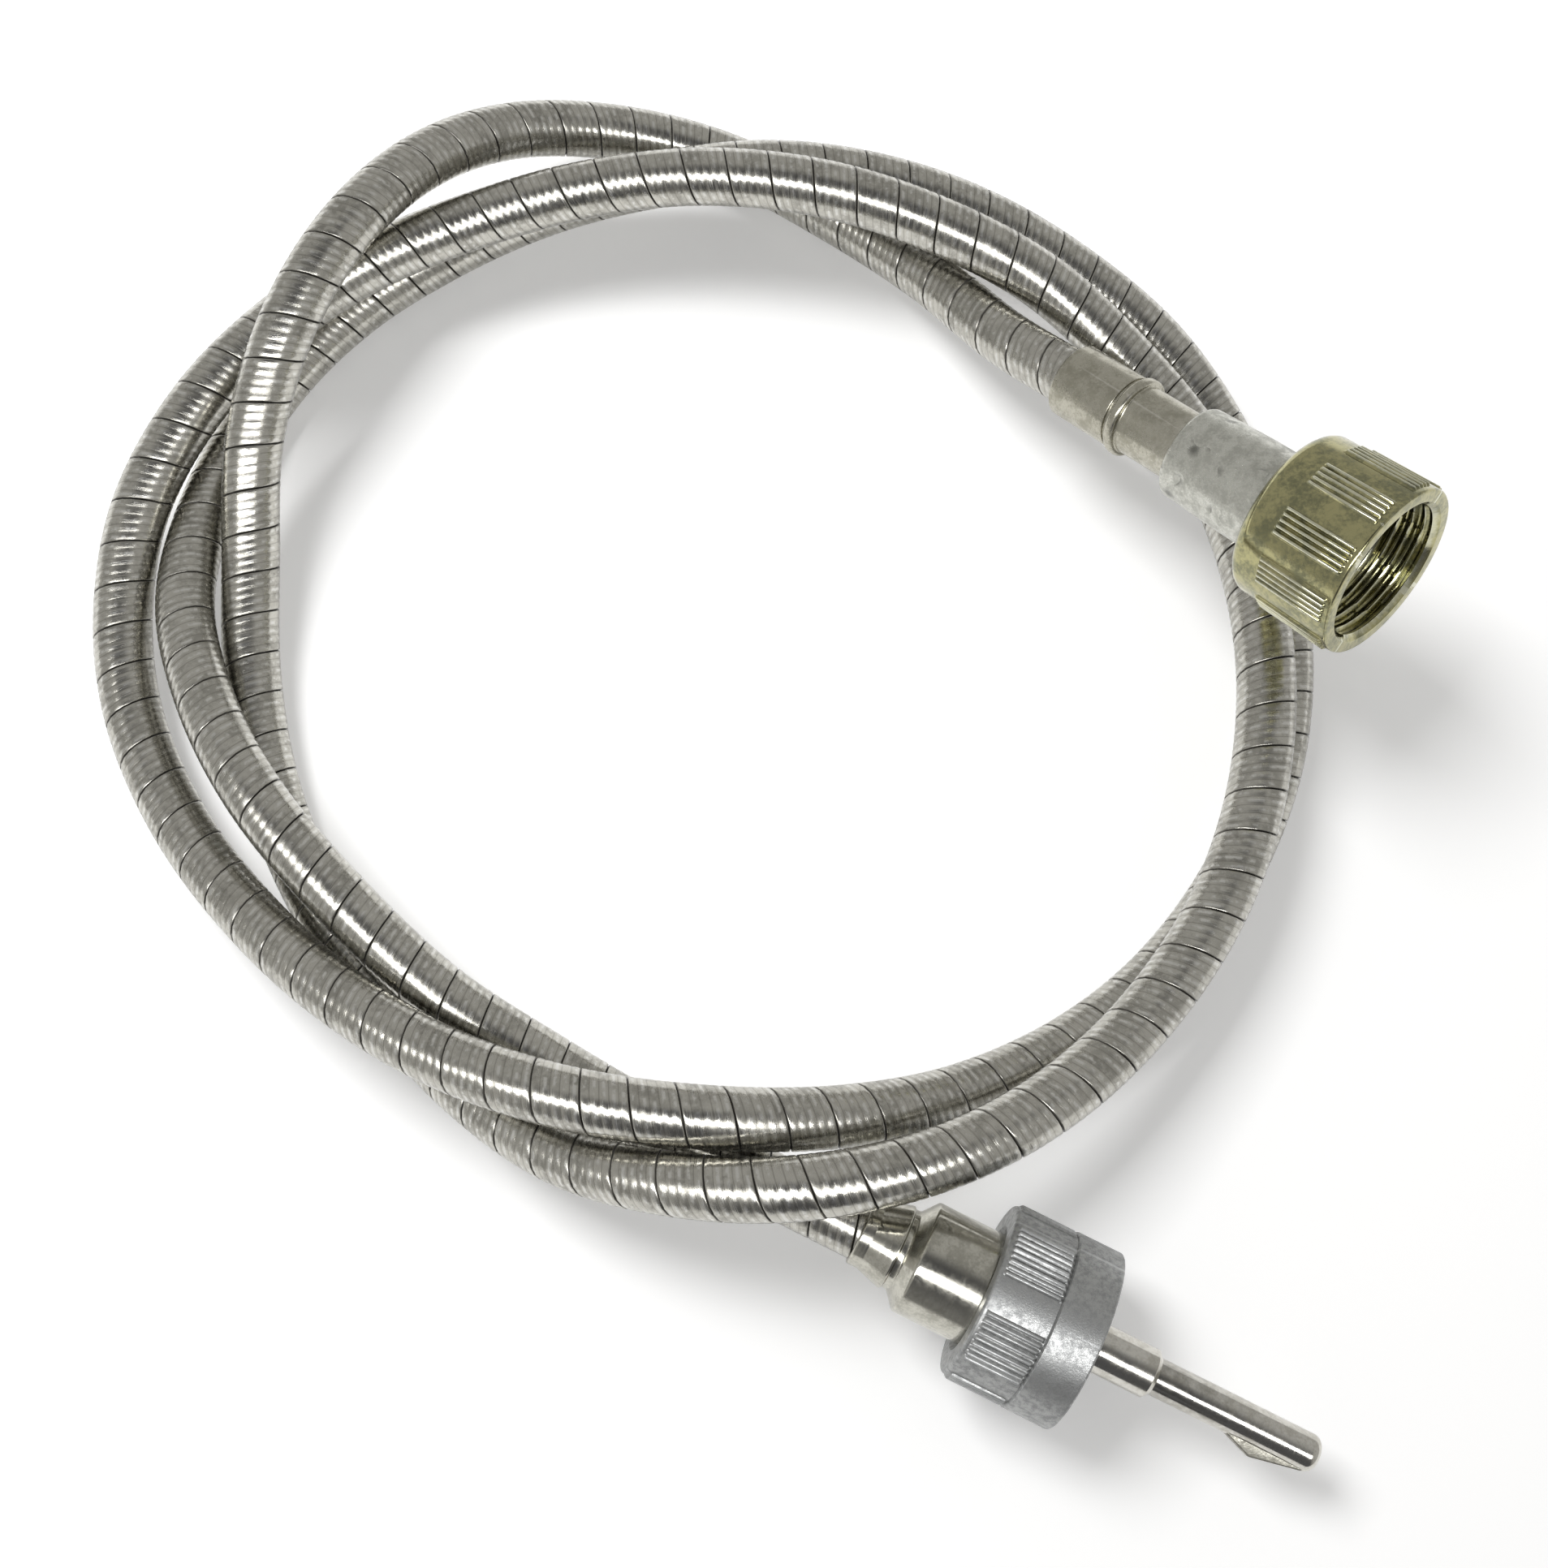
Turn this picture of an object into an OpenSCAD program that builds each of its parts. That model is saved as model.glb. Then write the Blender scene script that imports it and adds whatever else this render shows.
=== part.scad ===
// Mechanical drive cable for a vehicle instrument: a wound steel casing with its liner and
// turning core, an instrument end with a threaded coupling nut, and a drive end with a second
// nut and a keyed drive pin. The cable lies coiled on a table, in three loose turns.
// Millimetres, +Z up, origin under the middle of the whole coil, on the table.
// Along each end fitting, lengths count outwards from where the casing enters the ferrule.

/* [Cable] */
// Outer diameter of the wound steel casing
casing_d = 7; // [6.6:0.1:7.2]
// Thickness of the casing's winding
casing_wall = 0.95; // [0.8:0.05:1]
// Thickness of the liner tube inside the casing
liner_wall = 0.5; // [0.3:0.05:0.55]
// Diameter of the turning core
core_d = 3.2; // [2.8:0.1:3.4]

/* [Coupling thread] */
// Minor diameter of the M18 x 1.5 coupling thread
thread_minor_d = 16.38; // [16.2:0.02:16.8]
// Depth of the clear chamber behind each thread, below the thread's crests
relief_depth = 0.41; // [0.3:0.01:0.6]
// Chamfer at the mouth of each nut
mouth_chamfer = 0.6; // [0.3:0.1:1]
// Radial room between the flange that each nut pulls on and the thread's crests
flange_room = 0.29; // [0.2:0.01:0.5]
// Thickness of the flange
flange_t = 3; // [2.4:0.1:4]
// Thickness of the washer between a nut and its flange
nut_washer_t = 0.8; // [0.5:0.1:1.2]
// Thickness of the rubber seal in front of a flange
seal_t = 0.9; // [0.6:0.1:1.2]
// Radial step from the flange's edge in to the seal's
seal_inset = 0.1; // [0.05:0.05:0.3]
// Radial room round the bearing chamber's mouth inside the instrument seal
seal_bore_room = 0.2; // [0.1:0.05:0.5]

/* [Instrument ferrule] */
// Wall of the crimped part round the casing
grip_skin = 1.05; // [0.8:0.05:1.3]
// Length of the crimped part
grip_len = 9.2; // [9:0.1:11]
// Height of the bead above the crimped part
bead_rise = 0.4; // [0.2:0.1:0.7]
// Length of the bead
bead_len = 1.3; // [0.8:0.1:2]
// How far the neck lies below the crimped part
neck_step = 0.3; // [0.1:0.05:0.5]
// Length of the neck
neck_len = 8; // [6:0.5:9]
// Diameter of the shank inside the spigot
shank_d = 6.8; // [6:0.1:7.4]
// Depth of the casing's seat
grip_seat = 8.2; // [6:0.1:8.6]

/* [Instrument spigot] */
// Height of the flange above the spigot
spigot_shoulder = 1.9; // [1.7:0.1:2]
// How much narrower the spigot is at its rear edge
spigot_narrowing = 0.6; // [0:0.1:0.8]
// Length of the taper to that edge
spigot_taper = 8.4; // [5:0.1:9]
// Length of the spigot
spigot_len = 20.9; // [20.5:0.1:24]

/* [Instrument nut] */
// Wall of the nut's body round its clear chamber, at its rear
gold_skin = 1.4; // [1.2:0.1:1.8]
// How much wider the nut's body is at its front
gold_flare = 0.6; // [0:0.1:1]
// Length of the nut
gold_len = 14; // [13:0.1:16]
// Thickness of the nut's rear wall
gold_wall = 2.8; // [2:0.1:3.2]
// Radius of the rounded rear edge
gold_round = 1.6; // [0.8:0.1:2.4]
// Number of knurled patches round the nut
gold_patches = 10; // [6:1:12]
// Ribs in one knurled patch
gold_ribs = 5; // [3:1:6]
// Distance from the rear edge to the knurl
gold_knurl_from = 4.1; // [3:0.1:6]
// Plain band in front of the knurl
gold_lip = 0.7; // [0.4:0.1:2]

/* [Drive ferrule] */
// Wall of the rolled rear lip round the casing
lip_skin = 0.5; // [0.4:0.05:0.8]
// Length of the rear lip
lip_len = 1.4; // [1:0.1:2]
// Wall round the casing at the end of the cone behind the step
cone_skin = 1.4; // [1.1:0.05:1.7]
// How far the waist lies below the end of the cone
waist_step = 0.3; // [0.1:0.05:0.5]
// Length of that cone
cone_len = 3.1; // [2.5:0.1:4]
// Length of the step up to the barrel
step_len = 2.2; // [1.5:0.1:3]
// Height of the flange above the barrel where the nut slides
barrel_shoulder = 1.5; // [1.4:0.1:1.7]
// Length from the casing to the rear face of the flange
barrel_len = 17.2; // [16:0.1:18]
// Height of the flange above the nose in front of it
nose_shoulder = 1.9; // [1.6:0.1:2]
// Length of the nose
nose_len = 4; // [3.6:0.1:5]

/* [Drive nut] */
// Wall of the nut's body round its clear chamber
grey_skin = 1.2; // [0.9:0.1:1.4]
// Length of the nut
grey_len = 12.7; // [11.8:0.1:14]
// Thickness of the nut's rear wall
grey_wall = 2; // [1.6:0.1:2.6]
// Number of knurled patches round the nut
grey_patches = 6; // [4:1:7]
// Ribs in one knurled patch
grey_ribs = 9; // [6:1:10]
// Length of the knurl, from the rear edge
grey_knurl_len = 7.2; // [5:0.1:8]
// How far the plain band in front of the knurl stands above the ribs
grey_band_rise = 0.05; // [0.05:0.05:0.2]

/* [Knurl] */
// Width of one knurl rib
rib_w = 0.42; // [0.3:0.02:0.5]
// Distance between ribs, round the nut
rib_pitch = 0.72; // [0.6:0.02:0.8]
// How far a rib stands out of the nut
rib_h = 0.35; // [0.2:0.05:0.5]

/* [Bearing set] */
// Diameter of the chamber that holds the bearing parts
chamber_d = 9.2; // [9:0.1:9.4]
// Thickness of the wall between the casing's seat and the chamber
web_t = 1.8; // [1.2:0.1:2]
// Radial room of the core in the way through that wall
core_room = 0.5; // [0.4:0.05:0.7]
// Radial room of the stop collar, which keeps a drive piece in, inside the chamber
stop_room = 0.7; // [0.5:0.05:1]
// Thickness of the stop collar
stop_t = 1.2; // [0.8:0.1:1.4]
// Thickness of the thrust washer
thrust_t = 0.8; // [0.5:0.1:1]
// Thickness of the felt ring
felt_t = 1.2; // [0.8:0.1:1.4]
// Length of the bearing bush
bush_len = 5.2; // [4:0.1:5.6]
// Thickness of the snap ring
snap_t = 0.9; // [0.6:0.1:1]
// How far the snap ring stands into the chamber
snap_reach = 1; // [0.7:0.05:1.2]
// How deep the snap ring sits in its groove
snap_grip = 0.45; // [0.3:0.05:0.6]
// Depth of the chamber's mouth in front of the snap ring's groove
chamber_lip = 0.9; // [0.6:0.1:1.2]
// How far the core can float each way along its length
float_each_way = 1; // [0.5:0.1:1.2]

/* [Drive pieces] */
// Diameter of the drive tip where it turns in the bush
tip_d = 5.5; // [5.2:0.1:5.8]
// Length of that diameter in front of the nut
tip_collar_len = 8.3; // [6:0.1:10]
// Diameter of the drive pin
pin_d = 4.2; // [3.8:0.1:4.6]
// Length of the pin in front of the collar
pin_len = 19.1; // [16:0.1:24]
// Radius of the pin's rounded end
pin_round = 1.2; // [0.6:0.1:1.8]
// Height of the key on the pin
key_h = 1.15; // [0.8:0.05:1.6]
// Width of the key
key_w = 1.6; // [1:0.1:2.2]
// Distance from the collar to the start of the key
key_from = 9.2; // [8:0.1:12]
// Length of the key's rising flank
key_rise_len = 3.1; // [2:0.1:3.6]
// Diameter of the square drive piece where it turns in its bush
journal_d = 4.4; // [4.2:0.1:4.8]
// Width of the square, across its flats
square_w = 2.6; // [2.4:0.05:2.8]
// How far the square's end lies inside the spigot's face
square_recess = 0.3; // [0.1:0.1:1]

/* [Clearances] */
// Radial gap of parts that are fixed in each other
seat_gap = 0.03; // [0.02:0.01:0.05]
// Radial gap of parts that turn or slide on each other
run_gap = 0.06; // [0.04:0.01:0.09]
// Gap between end faces that move apart or rub
face_gap = 0.1; // [0.05:0.01:0.15]
// Spare travel left at each end of the core's float
float_spare = 0.2; // [0.1:0.05:0.3]

/* [Hidden] */
$fn = 96;
eps = 0.01;

// Where the casing enters each ferrule, and which way the fitting points from there
instrument_pos = [40.5, 41, 15];
instrument_heading = -46;
instrument_rise = 20;
drive_pos = [13.5, -59.5, 11.1];
drive_heading = -26;
drive_rise = -2;
// Straight cable outside each ferrule
straight_lead = 12;

// Points along the middle of the cable, from the instrument end to the drive end
ROUTE = [
    [23.5, 60.5, 6.5], [12, 70.5, 4], [-1.5, 78.5, 4], [-15.5, 81.5, 6], [-29, 79, 10.5],
    [-39.5, 71.5, 15.5], [-48, 60, 19], [-55, 47.5, 17.5], [-59.5, 34.5, 12.5], [-60.5, 21, 7],
    [-60, 6, 4], [-56.5, -8.5, 3.5], [-50, -22, 3.5], [-41, -34, 3.5], [-31, -44, 6],
    [-19.5, -51.5, 11], [-6.5, -55, 16.5], [7, -55.5, 19.5], [21.5, -52.5, 18.5], [34.5, -46, 15.5],
    [46, -36, 12.5], [55, -23.5, 11.5], [60.5, -9.5, 11], [62.5, 5.5, 11], [61, 20.5, 10.5],
    [56, 34.5, 10.5], [47.5, 46.5, 11], [37, 56, 13], [24, 62.5, 15], [10, 66.5, 16.5],
    [-5, 68.5, 16], [-19.5, 68, 14], [-33.5, 65, 12], [-47, 59, 11.5], [-58.5, 50.5, 11],
    [-67.5, 40, 10.5], [-74, 27.5, 8.5], [-76, 14.5, 6], [-74, 1.5, 4.5], [-67.5, -11.5, 5],
    [-58, -23, 7.5], [-46.5, -33, 11], [-33, -41, 14.5], [-18, -46, 17.5], [-2.5, -48, 17.5],
    [12, -47.5, 13.5], [25.5, -44.5, 8], [38.5, -38.5, 4.5], [49.5, -30, 3.5], [58.5, -18.5, 3.5],
    [64.5, -5, 4], [67, 9.5, 3.5], [66, 24.5, 3.5], [61.5, 38.5, 3.5], [54, 51, 4.5],
    [43.5, 60.5, 6], [31, 67, 9], [17.5, 71, 11], [3.5, 73, 11], [-11, 73, 8.5],
    [-25.5, 70.5, 6], [-39, 65, 4], [-51, 56.5, 3.5], [-60.5, 45, 3.5], [-66.5, 31, 4.5],
    [-68, 16, 7.5], [-64, 2.5, 10], [-56.5, -10.5, 11.5], [-46, -22.5, 10.5], [-34.5, -33, 9],
    [-22, -41, 8.5], [-9, -48.5, 9.5]
];

// Places of the bearing parts, counted from the floor of their chamber
stop_from = float_each_way + float_spare;
thrust_from = stop_from + stop_t + face_gap;
felt_from = thrust_from + thrust_t + float_each_way + float_spare;
bush_from = felt_from + felt_t + face_gap;
snap_from = bush_from + bush_len + face_gap;
journal_to = snap_from - float_each_way - float_spare;
chamber_len = snap_from + snap_t + face_gap + chamber_lip;

// Diameters that follow the thread, from the nuts inwards
flange_d = thread_minor_d - 2 * flange_room;
seal_d = flange_d - 2 * seal_inset;
relief_d = thread_minor_d + 2 * relief_depth;
gold_rear_d = relief_d + 2 * gold_skin;
gold_front_d = gold_rear_d + gold_flare;
grey_d = relief_d + 2 * grey_skin;
grey_band_d = grey_d + 2 * (rib_h + grey_band_rise);
spigot_d = flange_d - 2 * spigot_shoulder;
spigot_rear_d = spigot_d - spigot_narrowing;
barrel_d = flange_d - 2 * barrel_shoulder;
nose_d = flange_d - 2 * nose_shoulder;

// Diameters that follow the casing, the core and the bearing chamber
grip_d = casing_d + 2 * grip_skin;
bead_d = grip_d + 2 * bead_rise;
neck_d = grip_d - 2 * neck_step;
lip_d = casing_d + 2 * lip_skin;
cone_d = casing_d + 2 * cone_skin;
waist_d = cone_d - 2 * waist_step;
core_way_d = core_d + 2 * core_room;
stop_d = chamber_d - 2 * stop_room;
snap_bore_d = chamber_d - 2 * snap_reach;

// Lengths along the instrument end
neck_z = grip_len + bead_len;
spigot_z = neck_z + neck_len;
spigot_face_z = spigot_z + spigot_len;
spigot_floor_z = spigot_face_z - chamber_len;
shank_len = spigot_floor_z - web_t - face_gap - spigot_z;
gold_z = spigot_face_z - flange_t - nut_washer_t - 2 * face_gap - gold_wall;

// Lengths along the drive end
cone_z = lip_len + cone_len;
barrel_z = cone_z + step_len;
drive_flange_face_z = barrel_len + flange_t;
nose_z = drive_flange_face_z + nose_len;
sleeve_floor_z = nose_z - chamber_len;
sleeve_seat = sleeve_floor_z - web_t;
grey_z = barrel_len - nut_washer_t - 2 * face_gap - grey_wall;
grey_face_z = grey_z + grey_len;

// How deep the core reaches into each drive piece, past that piece's collar
core_grip = 5.6;
core_end_room = float_each_way + 2 * float_spare;

// One direction and one place along a fitting's axis
function heading_vector(heading, rise) =
    [cos(rise) * cos(heading), cos(rise) * sin(heading), sin(rise)];
function on_instrument(length) =
    instrument_pos + length * heading_vector(instrument_heading, instrument_rise);
function on_drive(length) = drive_pos + length * heading_vector(drive_heading, drive_rise);

// The stations that a layer of the cable is swept through, between its depths in the ferrules
function stations(depth_a, depth_b) = concat(
    [on_instrument(depth_a), on_instrument(0), on_instrument(-straight_lead)],
    ROUTE,
    [on_drive(-straight_lead), on_drive(0), on_drive(depth_b)]
);

// Sweep: a ring of points round every station, kept level by the vertical
function unit(v) = v / norm(v);
function tangent(path, i) = unit(path[min(i + 1, len(path) - 1)] - path[max(i - 1, 0)]);
function side_of(t) = unit(cross(t, [0, 0, 1]));
function rings(path, radius, sides) = [
    for (i = [0 : len(path) - 1])
        let (t = tangent(path, i), s = side_of(t), u = cross(s, t))
            for (k = [0 : sides - 1])
                path[i] + radius * (cos(360 * k / sides) * s + sin(360 * k / sides) * u)
];
function wall_faces(count, sides, first, flip) = [
    for (i = [0 : count - 2], k = [0 : sides - 1])
        let (
            a = first + i * sides + k,
            b = first + i * sides + (k + 1) % sides,
            c = b + sides,
            d = a + sides
        )
            each flip ? [[a, c, b], [a, d, c]] : [[a, b, c], [a, c, d]]
];
function ring_cap(outer, inner, sides, flip) = [
    for (k = [0 : sides - 1])
        let (
            a = outer + (k + 1) % sides,
            b = outer + k,
            c = inner + k,
            d = inner + (k + 1) % sides
        )
            each flip ? [[a, c, b], [a, d, c]] : [[a, b, c], [a, c, d]]
];

module swept_tube(path, outer_r, inner_r, sides) {
    count = len(path);
    inner = count * sides;
    polyhedron(
        points = concat(rings(path, outer_r, sides), rings(path, inner_r, sides)),
        faces = concat(
            wall_faces(count, sides, 0, false),
            wall_faces(count, sides, inner, true),
            ring_cap(0, inner, sides, false),
            ring_cap(inner - sides, 2 * inner - sides, sides, true)
        )
    );
}

module swept_rod(path, radius, sides) {
    count = len(path);
    polyhedron(
        points = rings(path, radius, sides),
        faces = concat(
            wall_faces(count, sides, 0, false),
            [[for (k = [sides - 1 : -1 : 0]) k]],
            [[for (k = [0 : sides - 1]) (count - 1) * sides + k]]
        )
    );
}

// Frames of the two fittings: local Z runs out along the fitting
module at_instrument(length = 0) {
    translate(instrument_pos)
        rotate([0, 90 - instrument_rise, instrument_heading])
            translate([0, 0, length])
                children();
}

module at_drive(length = 0) {
    translate(drive_pos)
        rotate([0, 90 - drive_rise, drive_heading])
            translate([0, 0, length])
                children();
}

// Round stock, from a lower to a higher level
module turned(diameter, from, to) {
    translate([0, 0, from])
        cylinder(d = diameter, h = to - from);
}

module cone(from_d, to_d, from, to) {
    translate([0, 0, from])
        cylinder(d1 = from_d, d2 = to_d, h = to - from);
}

module ring(outer_d, inner_d, height) {
    difference() {
        cylinder(d = outer_d, h = height);
        turned(inner_d, -eps, height + eps);
    }
}

// The chamber for the bearing set and the snap ring's groove, with its floor at z = 0
module bearing_chamber() {
    turned(chamber_d, 0, chamber_len + eps);
    turned(chamber_d + 2 * snap_grip + 2 * seat_gap, snap_from, snap_from + snap_t + face_gap);
}

module bearing_bush(bore_d) {
    translate([0, 0, bush_from])
        ring(chamber_d - 2 * seat_gap, bore_d + 2 * run_gap, bush_len);
}

module felt_ring(bore_d) {
    translate([0, 0, felt_from])
        ring(chamber_d - 2 * seat_gap, bore_d + 2 * run_gap, felt_t);
}

module thrust_washer(bore_d) {
    translate([0, 0, thrust_from])
        ring(chamber_d - 2 * run_gap, bore_d + 2 * run_gap, thrust_t);
}

module snap_ring() {
    slot_w = 3;
    translate([0, 0, snap_from + face_gap / 2])
        difference() {
            ring(chamber_d + 2 * snap_grip, snap_bore_d, snap_t);
            translate([0, -slot_w / 2, -eps])
                cube([chamber_d, slot_w, snap_t + 2 * eps]);
        }
}

module nut_washer(bore_d) {
    ring(flange_d, bore_d + 2 * run_gap, nut_washer_t);
}

// The hollow of a coupling nut: rear bore, relief chamber, thread and chamfered mouth
module nut_hollow(length, wall, bore_d, thread_from) {
    turned(bore_d + 2 * run_gap, -eps, wall + eps);
    turned(relief_d, wall, thread_from);
    turned(thread_minor_d, thread_from - eps, length + eps);
    cone(thread_minor_d, thread_minor_d + 2 * mouth_chamfer + 2 * eps,
        length - mouth_chamfer, length + eps);
}

// Knurled patches of straight ribs round a nut; the ribs follow a tapered body
module knurl(patches, ribs, rear_d, front_d, from, to) {
    rib_root = 0.6;
    step = 360 * rib_pitch / (PI * (rear_d + front_d) / 2);
    lean = atan2((front_d - rear_d) / 2, to - from);
    for (patch = [0 : patches - 1], rib = [0 : ribs - 1])
        rotate([0, 0, 360 * patch / patches + (rib - (ribs - 1) / 2) * step])
            translate([rear_d / 2, 0, from])
                rotate([0, lean, 0])
                    translate([-rib_root, -rib_w / 2, 0])
                        cube([rib_root + rib_h, rib_w, (to - from) / cos(lean)]);
}

// ---- Cable ----

module casing_armour() {
    color("darkgray")
        swept_tube(
            stations(grip_seat - face_gap, sleeve_seat - face_gap),
            casing_d / 2, casing_d / 2 - casing_wall, 12
        );
}

module casing_liner() {
    liner_d = casing_d - 2 * casing_wall - 2 * seat_gap;
    color("dimgray")
        swept_tube(
            stations(grip_seat - face_gap, sleeve_seat - face_gap),
            liner_d / 2, liner_d / 2 - liner_wall, 12
        );
}

module drive_core() {
    color("slategray")
        swept_rod(
            stations(spigot_floor_z + stop_from + core_grip, sleeve_floor_z + stop_from + core_grip),
            core_d / 2, 12
        );
}

// ---- Instrument end ----

module instrument_ferrule() {
    end_z = spigot_z + shank_len;
    groove_d = neck_d;
    groove_len = 0.5;
    color("gray")
        at_instrument()
            difference() {
                union() {
                    turned(grip_d, 0, grip_len - groove_len);
                    turned(groove_d, grip_len - groove_len - eps, grip_len + eps);
                    turned(bead_d, grip_len, neck_z);
                    turned(neck_d, neck_z - eps, spigot_z);
                    turned(shank_d, spigot_z - eps, end_z);
                }
                turned(casing_d + 2 * seat_gap, -eps, grip_seat);
                turned(core_way_d, grip_seat - eps, end_z + eps);
            }
}

module instrument_spigot() {
    color("silver")
        at_instrument(spigot_z)
            difference() {
                union() {
                    cone(spigot_rear_d, spigot_d, 0, spigot_taper);
                    turned(spigot_d, spigot_taper - eps, spigot_len);
                    turned(flange_d, spigot_len - flange_t, spigot_len);
                }
                turned(shank_d + 2 * seat_gap, -eps, shank_len + face_gap);
                turned(core_way_d, shank_len, spigot_len);
                translate([0, 0, spigot_floor_z - spigot_z])
                    bearing_chamber();
            }
}

module instrument_bush() {
    color("peru") at_instrument(spigot_floor_z) bearing_bush(journal_d);
}

module instrument_felt() {
    color("saddlebrown") at_instrument(spigot_floor_z) felt_ring(journal_d);
}

module instrument_snap_ring() {
    color("dimgray") at_instrument(spigot_floor_z) snap_ring();
}

module instrument_thrust_washer() {
    color("lightsteelblue") at_instrument(spigot_floor_z) thrust_washer(journal_d);
}

module instrument_square_drive() {
    square_to = spigot_face_z - spigot_floor_z - square_recess;
    color("lightgray")
        at_instrument(spigot_floor_z)
            difference() {
                union() {
                    turned(stop_d, stop_from, stop_from + stop_t);
                    turned(journal_d, stop_from, journal_to);
                    translate([-square_w / 2, -square_w / 2, journal_to - eps])
                        cube([square_w, square_w, square_to - journal_to + eps]);
                }
                turned(core_d + 2 * run_gap, stop_from - eps, stop_from + core_grip + core_end_room);
            }
}

module instrument_seal() {
    color("black")
        at_instrument(spigot_face_z + face_gap / 2)
            ring(seal_d, chamber_d + 2 * seal_bore_room, seal_t);
}

module instrument_nut_washer() {
    color("whitesmoke")
        at_instrument(gold_z + gold_wall + face_gap)
            nut_washer(spigot_d);
}

module instrument_nut() {
    thread_from = spigot_face_z + seal_t + 2 * face_gap - gold_z;
    knurl_to = gold_len - gold_lip;
    knurl_share = (gold_front_d - gold_rear_d) / gold_len;
    color("darkkhaki")
        at_instrument(gold_z)
            difference() {
                union() {
                    gold_body();
                    knurl(gold_patches, gold_ribs,
                        gold_rear_d + knurl_share * gold_knurl_from,
                        gold_rear_d + knurl_share * knurl_to,
                        gold_knurl_from, knurl_to);
                }
                nut_hollow(gold_len, gold_wall, spigot_d, thread_from);
            }
}

// Tapered body with a rounded rear edge
module gold_body() {
    arc_steps = 8;
    core_r = gold_rear_d / 2 - gold_round;
    rotate_extrude()
        polygon(concat(
            [[0, 0]],
            [
                for (i = [0 : arc_steps])
                    let (a = -90 + 90 * i / arc_steps)
                        [core_r + gold_round * cos(a), gold_round + gold_round * sin(a)]
            ],
            [[gold_front_d / 2, gold_len], [0, gold_len]]
        ));
}

// ---- Drive end ----

module drive_ferrule() {
    color("tan")
        at_drive()
            difference() {
                union() {
                    turned(lip_d, 0, lip_len);
                    cone(lip_d, cone_d, lip_len - eps, cone_z);
                    turned(waist_d, cone_z - eps, barrel_z);
                    cone(waist_d, barrel_d, cone_z + step_len / 3, barrel_z);
                    turned(barrel_d, barrel_z - eps, barrel_len);
                    turned(flange_d, barrel_len - eps, drive_flange_face_z);
                    turned(nose_d, drive_flange_face_z - eps, nose_z);
                }
                turned(casing_d + 2 * seat_gap, -eps, sleeve_seat);
                turned(core_way_d, sleeve_seat - eps, nose_z);
                translate([0, 0, sleeve_floor_z])
                    bearing_chamber();
            }
}

module drive_bush() {
    color("peru") at_drive(sleeve_floor_z) bearing_bush(tip_d);
}

module drive_felt() {
    color("saddlebrown") at_drive(sleeve_floor_z) felt_ring(tip_d);
}

module drive_snap_ring() {
    color("dimgray") at_drive(sleeve_floor_z) snap_ring();
}

module drive_thrust_washer() {
    color("lightsteelblue") at_drive(sleeve_floor_z) thrust_washer(tip_d);
}

module drive_tip() {
    collar_to = grey_face_z + tip_collar_len;
    socket_from = sleeve_floor_z + stop_from;
    collar_chamfer = 0.5;
    color("gainsboro")
        at_drive()
            difference() {
                union() {
                    turned(stop_d, socket_from, socket_from + stop_t);
                    turned(tip_d, socket_from, collar_to - collar_chamfer);
                    cone(tip_d, tip_d - 2 * collar_chamfer, collar_to - collar_chamfer - eps, collar_to);
                    translate([0, 0, collar_to - eps])
                        round_ended_pin();
                    translate([0, 0, collar_to])
                        pin_key();
                }
                turned(core_d + 2 * run_gap, socket_from - eps, socket_from + core_grip + core_end_room);
            }
}

module round_ended_pin() {
    arc_steps = 8;
    straight = pin_len - pin_round;
    rotate_extrude()
        polygon(concat(
            [[0, 0], [pin_d / 2, 0]],
            [
                for (i = [0 : arc_steps])
                    let (a = 90 * i / arc_steps)
                        [pin_d / 2 - pin_round + pin_round * cos(a), straight + pin_round * sin(a)]
            ],
            [[0, pin_len]]
        ));
}

// A fin along one side of the pin: a short rising flank, then a long fall to the end
module pin_key() {
    root = pin_d / 2;
    rotate([0, 0, 180])
        rotate([90, 0, 90])
            translate([0, 0, -key_w / 2])
                linear_extrude(key_w)
                    polygon([
                        [root / 2, key_from],
                        [root, key_from],
                        [root + key_h, key_from + key_rise_len],
                        [root, pin_len - pin_round],
                        [root / 2, pin_len - pin_round]
                    ]);
}

module drive_seal() {
    color("black")
        at_drive(drive_flange_face_z + face_gap / 2)
            ring(seal_d, nose_d + 2 * run_gap, seal_t);
}

module drive_nut_washer() {
    color("whitesmoke")
        at_drive(grey_z + grey_wall + face_gap)
            nut_washer(barrel_d);
}

module drive_nut() {
    thread_from = drive_flange_face_z + seal_t + 2 * face_gap - grey_z;
    rim = 0.5;
    color("lightslategray")
        at_drive(grey_z)
            difference() {
                union() {
                    cone(grey_d - 2 * rim, grey_d, 0, rim);
                    turned(grey_d, rim - eps, grey_knurl_len + eps);
                    turned(grey_band_d, grey_knurl_len, grey_len);
                    rotate([0, 0, 180 / grey_patches])
                        knurl(grey_patches, grey_ribs, grey_d, grey_d, rim, grey_knurl_len + eps);
                }
                nut_hollow(grey_len, grey_wall, barrel_d, thread_from);
            }
}

casing_armour();
casing_liner();
drive_core();
instrument_ferrule();
instrument_spigot();
instrument_bush();
instrument_felt();
instrument_snap_ring();
instrument_thrust_washer();
instrument_square_drive();
instrument_seal();
instrument_nut_washer();
instrument_nut();
drive_ferrule();
drive_bush();
drive_felt();
drive_snap_ring();
drive_thrust_washer();
drive_tip();
drive_seal();
drive_nut_washer();
drive_nut();
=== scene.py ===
"""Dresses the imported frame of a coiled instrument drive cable.

Lengths are in metres. Along an end fitting they count outwards from the mouth where the
casing enters it, and radii are about the fitting's own axis.
"""

import logging
import math
from dataclasses import dataclass, field
from enum import Enum
from functools import cached_property

import bmesh
import bpy
import numpy as np
from mathutils import Matrix, Vector


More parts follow.
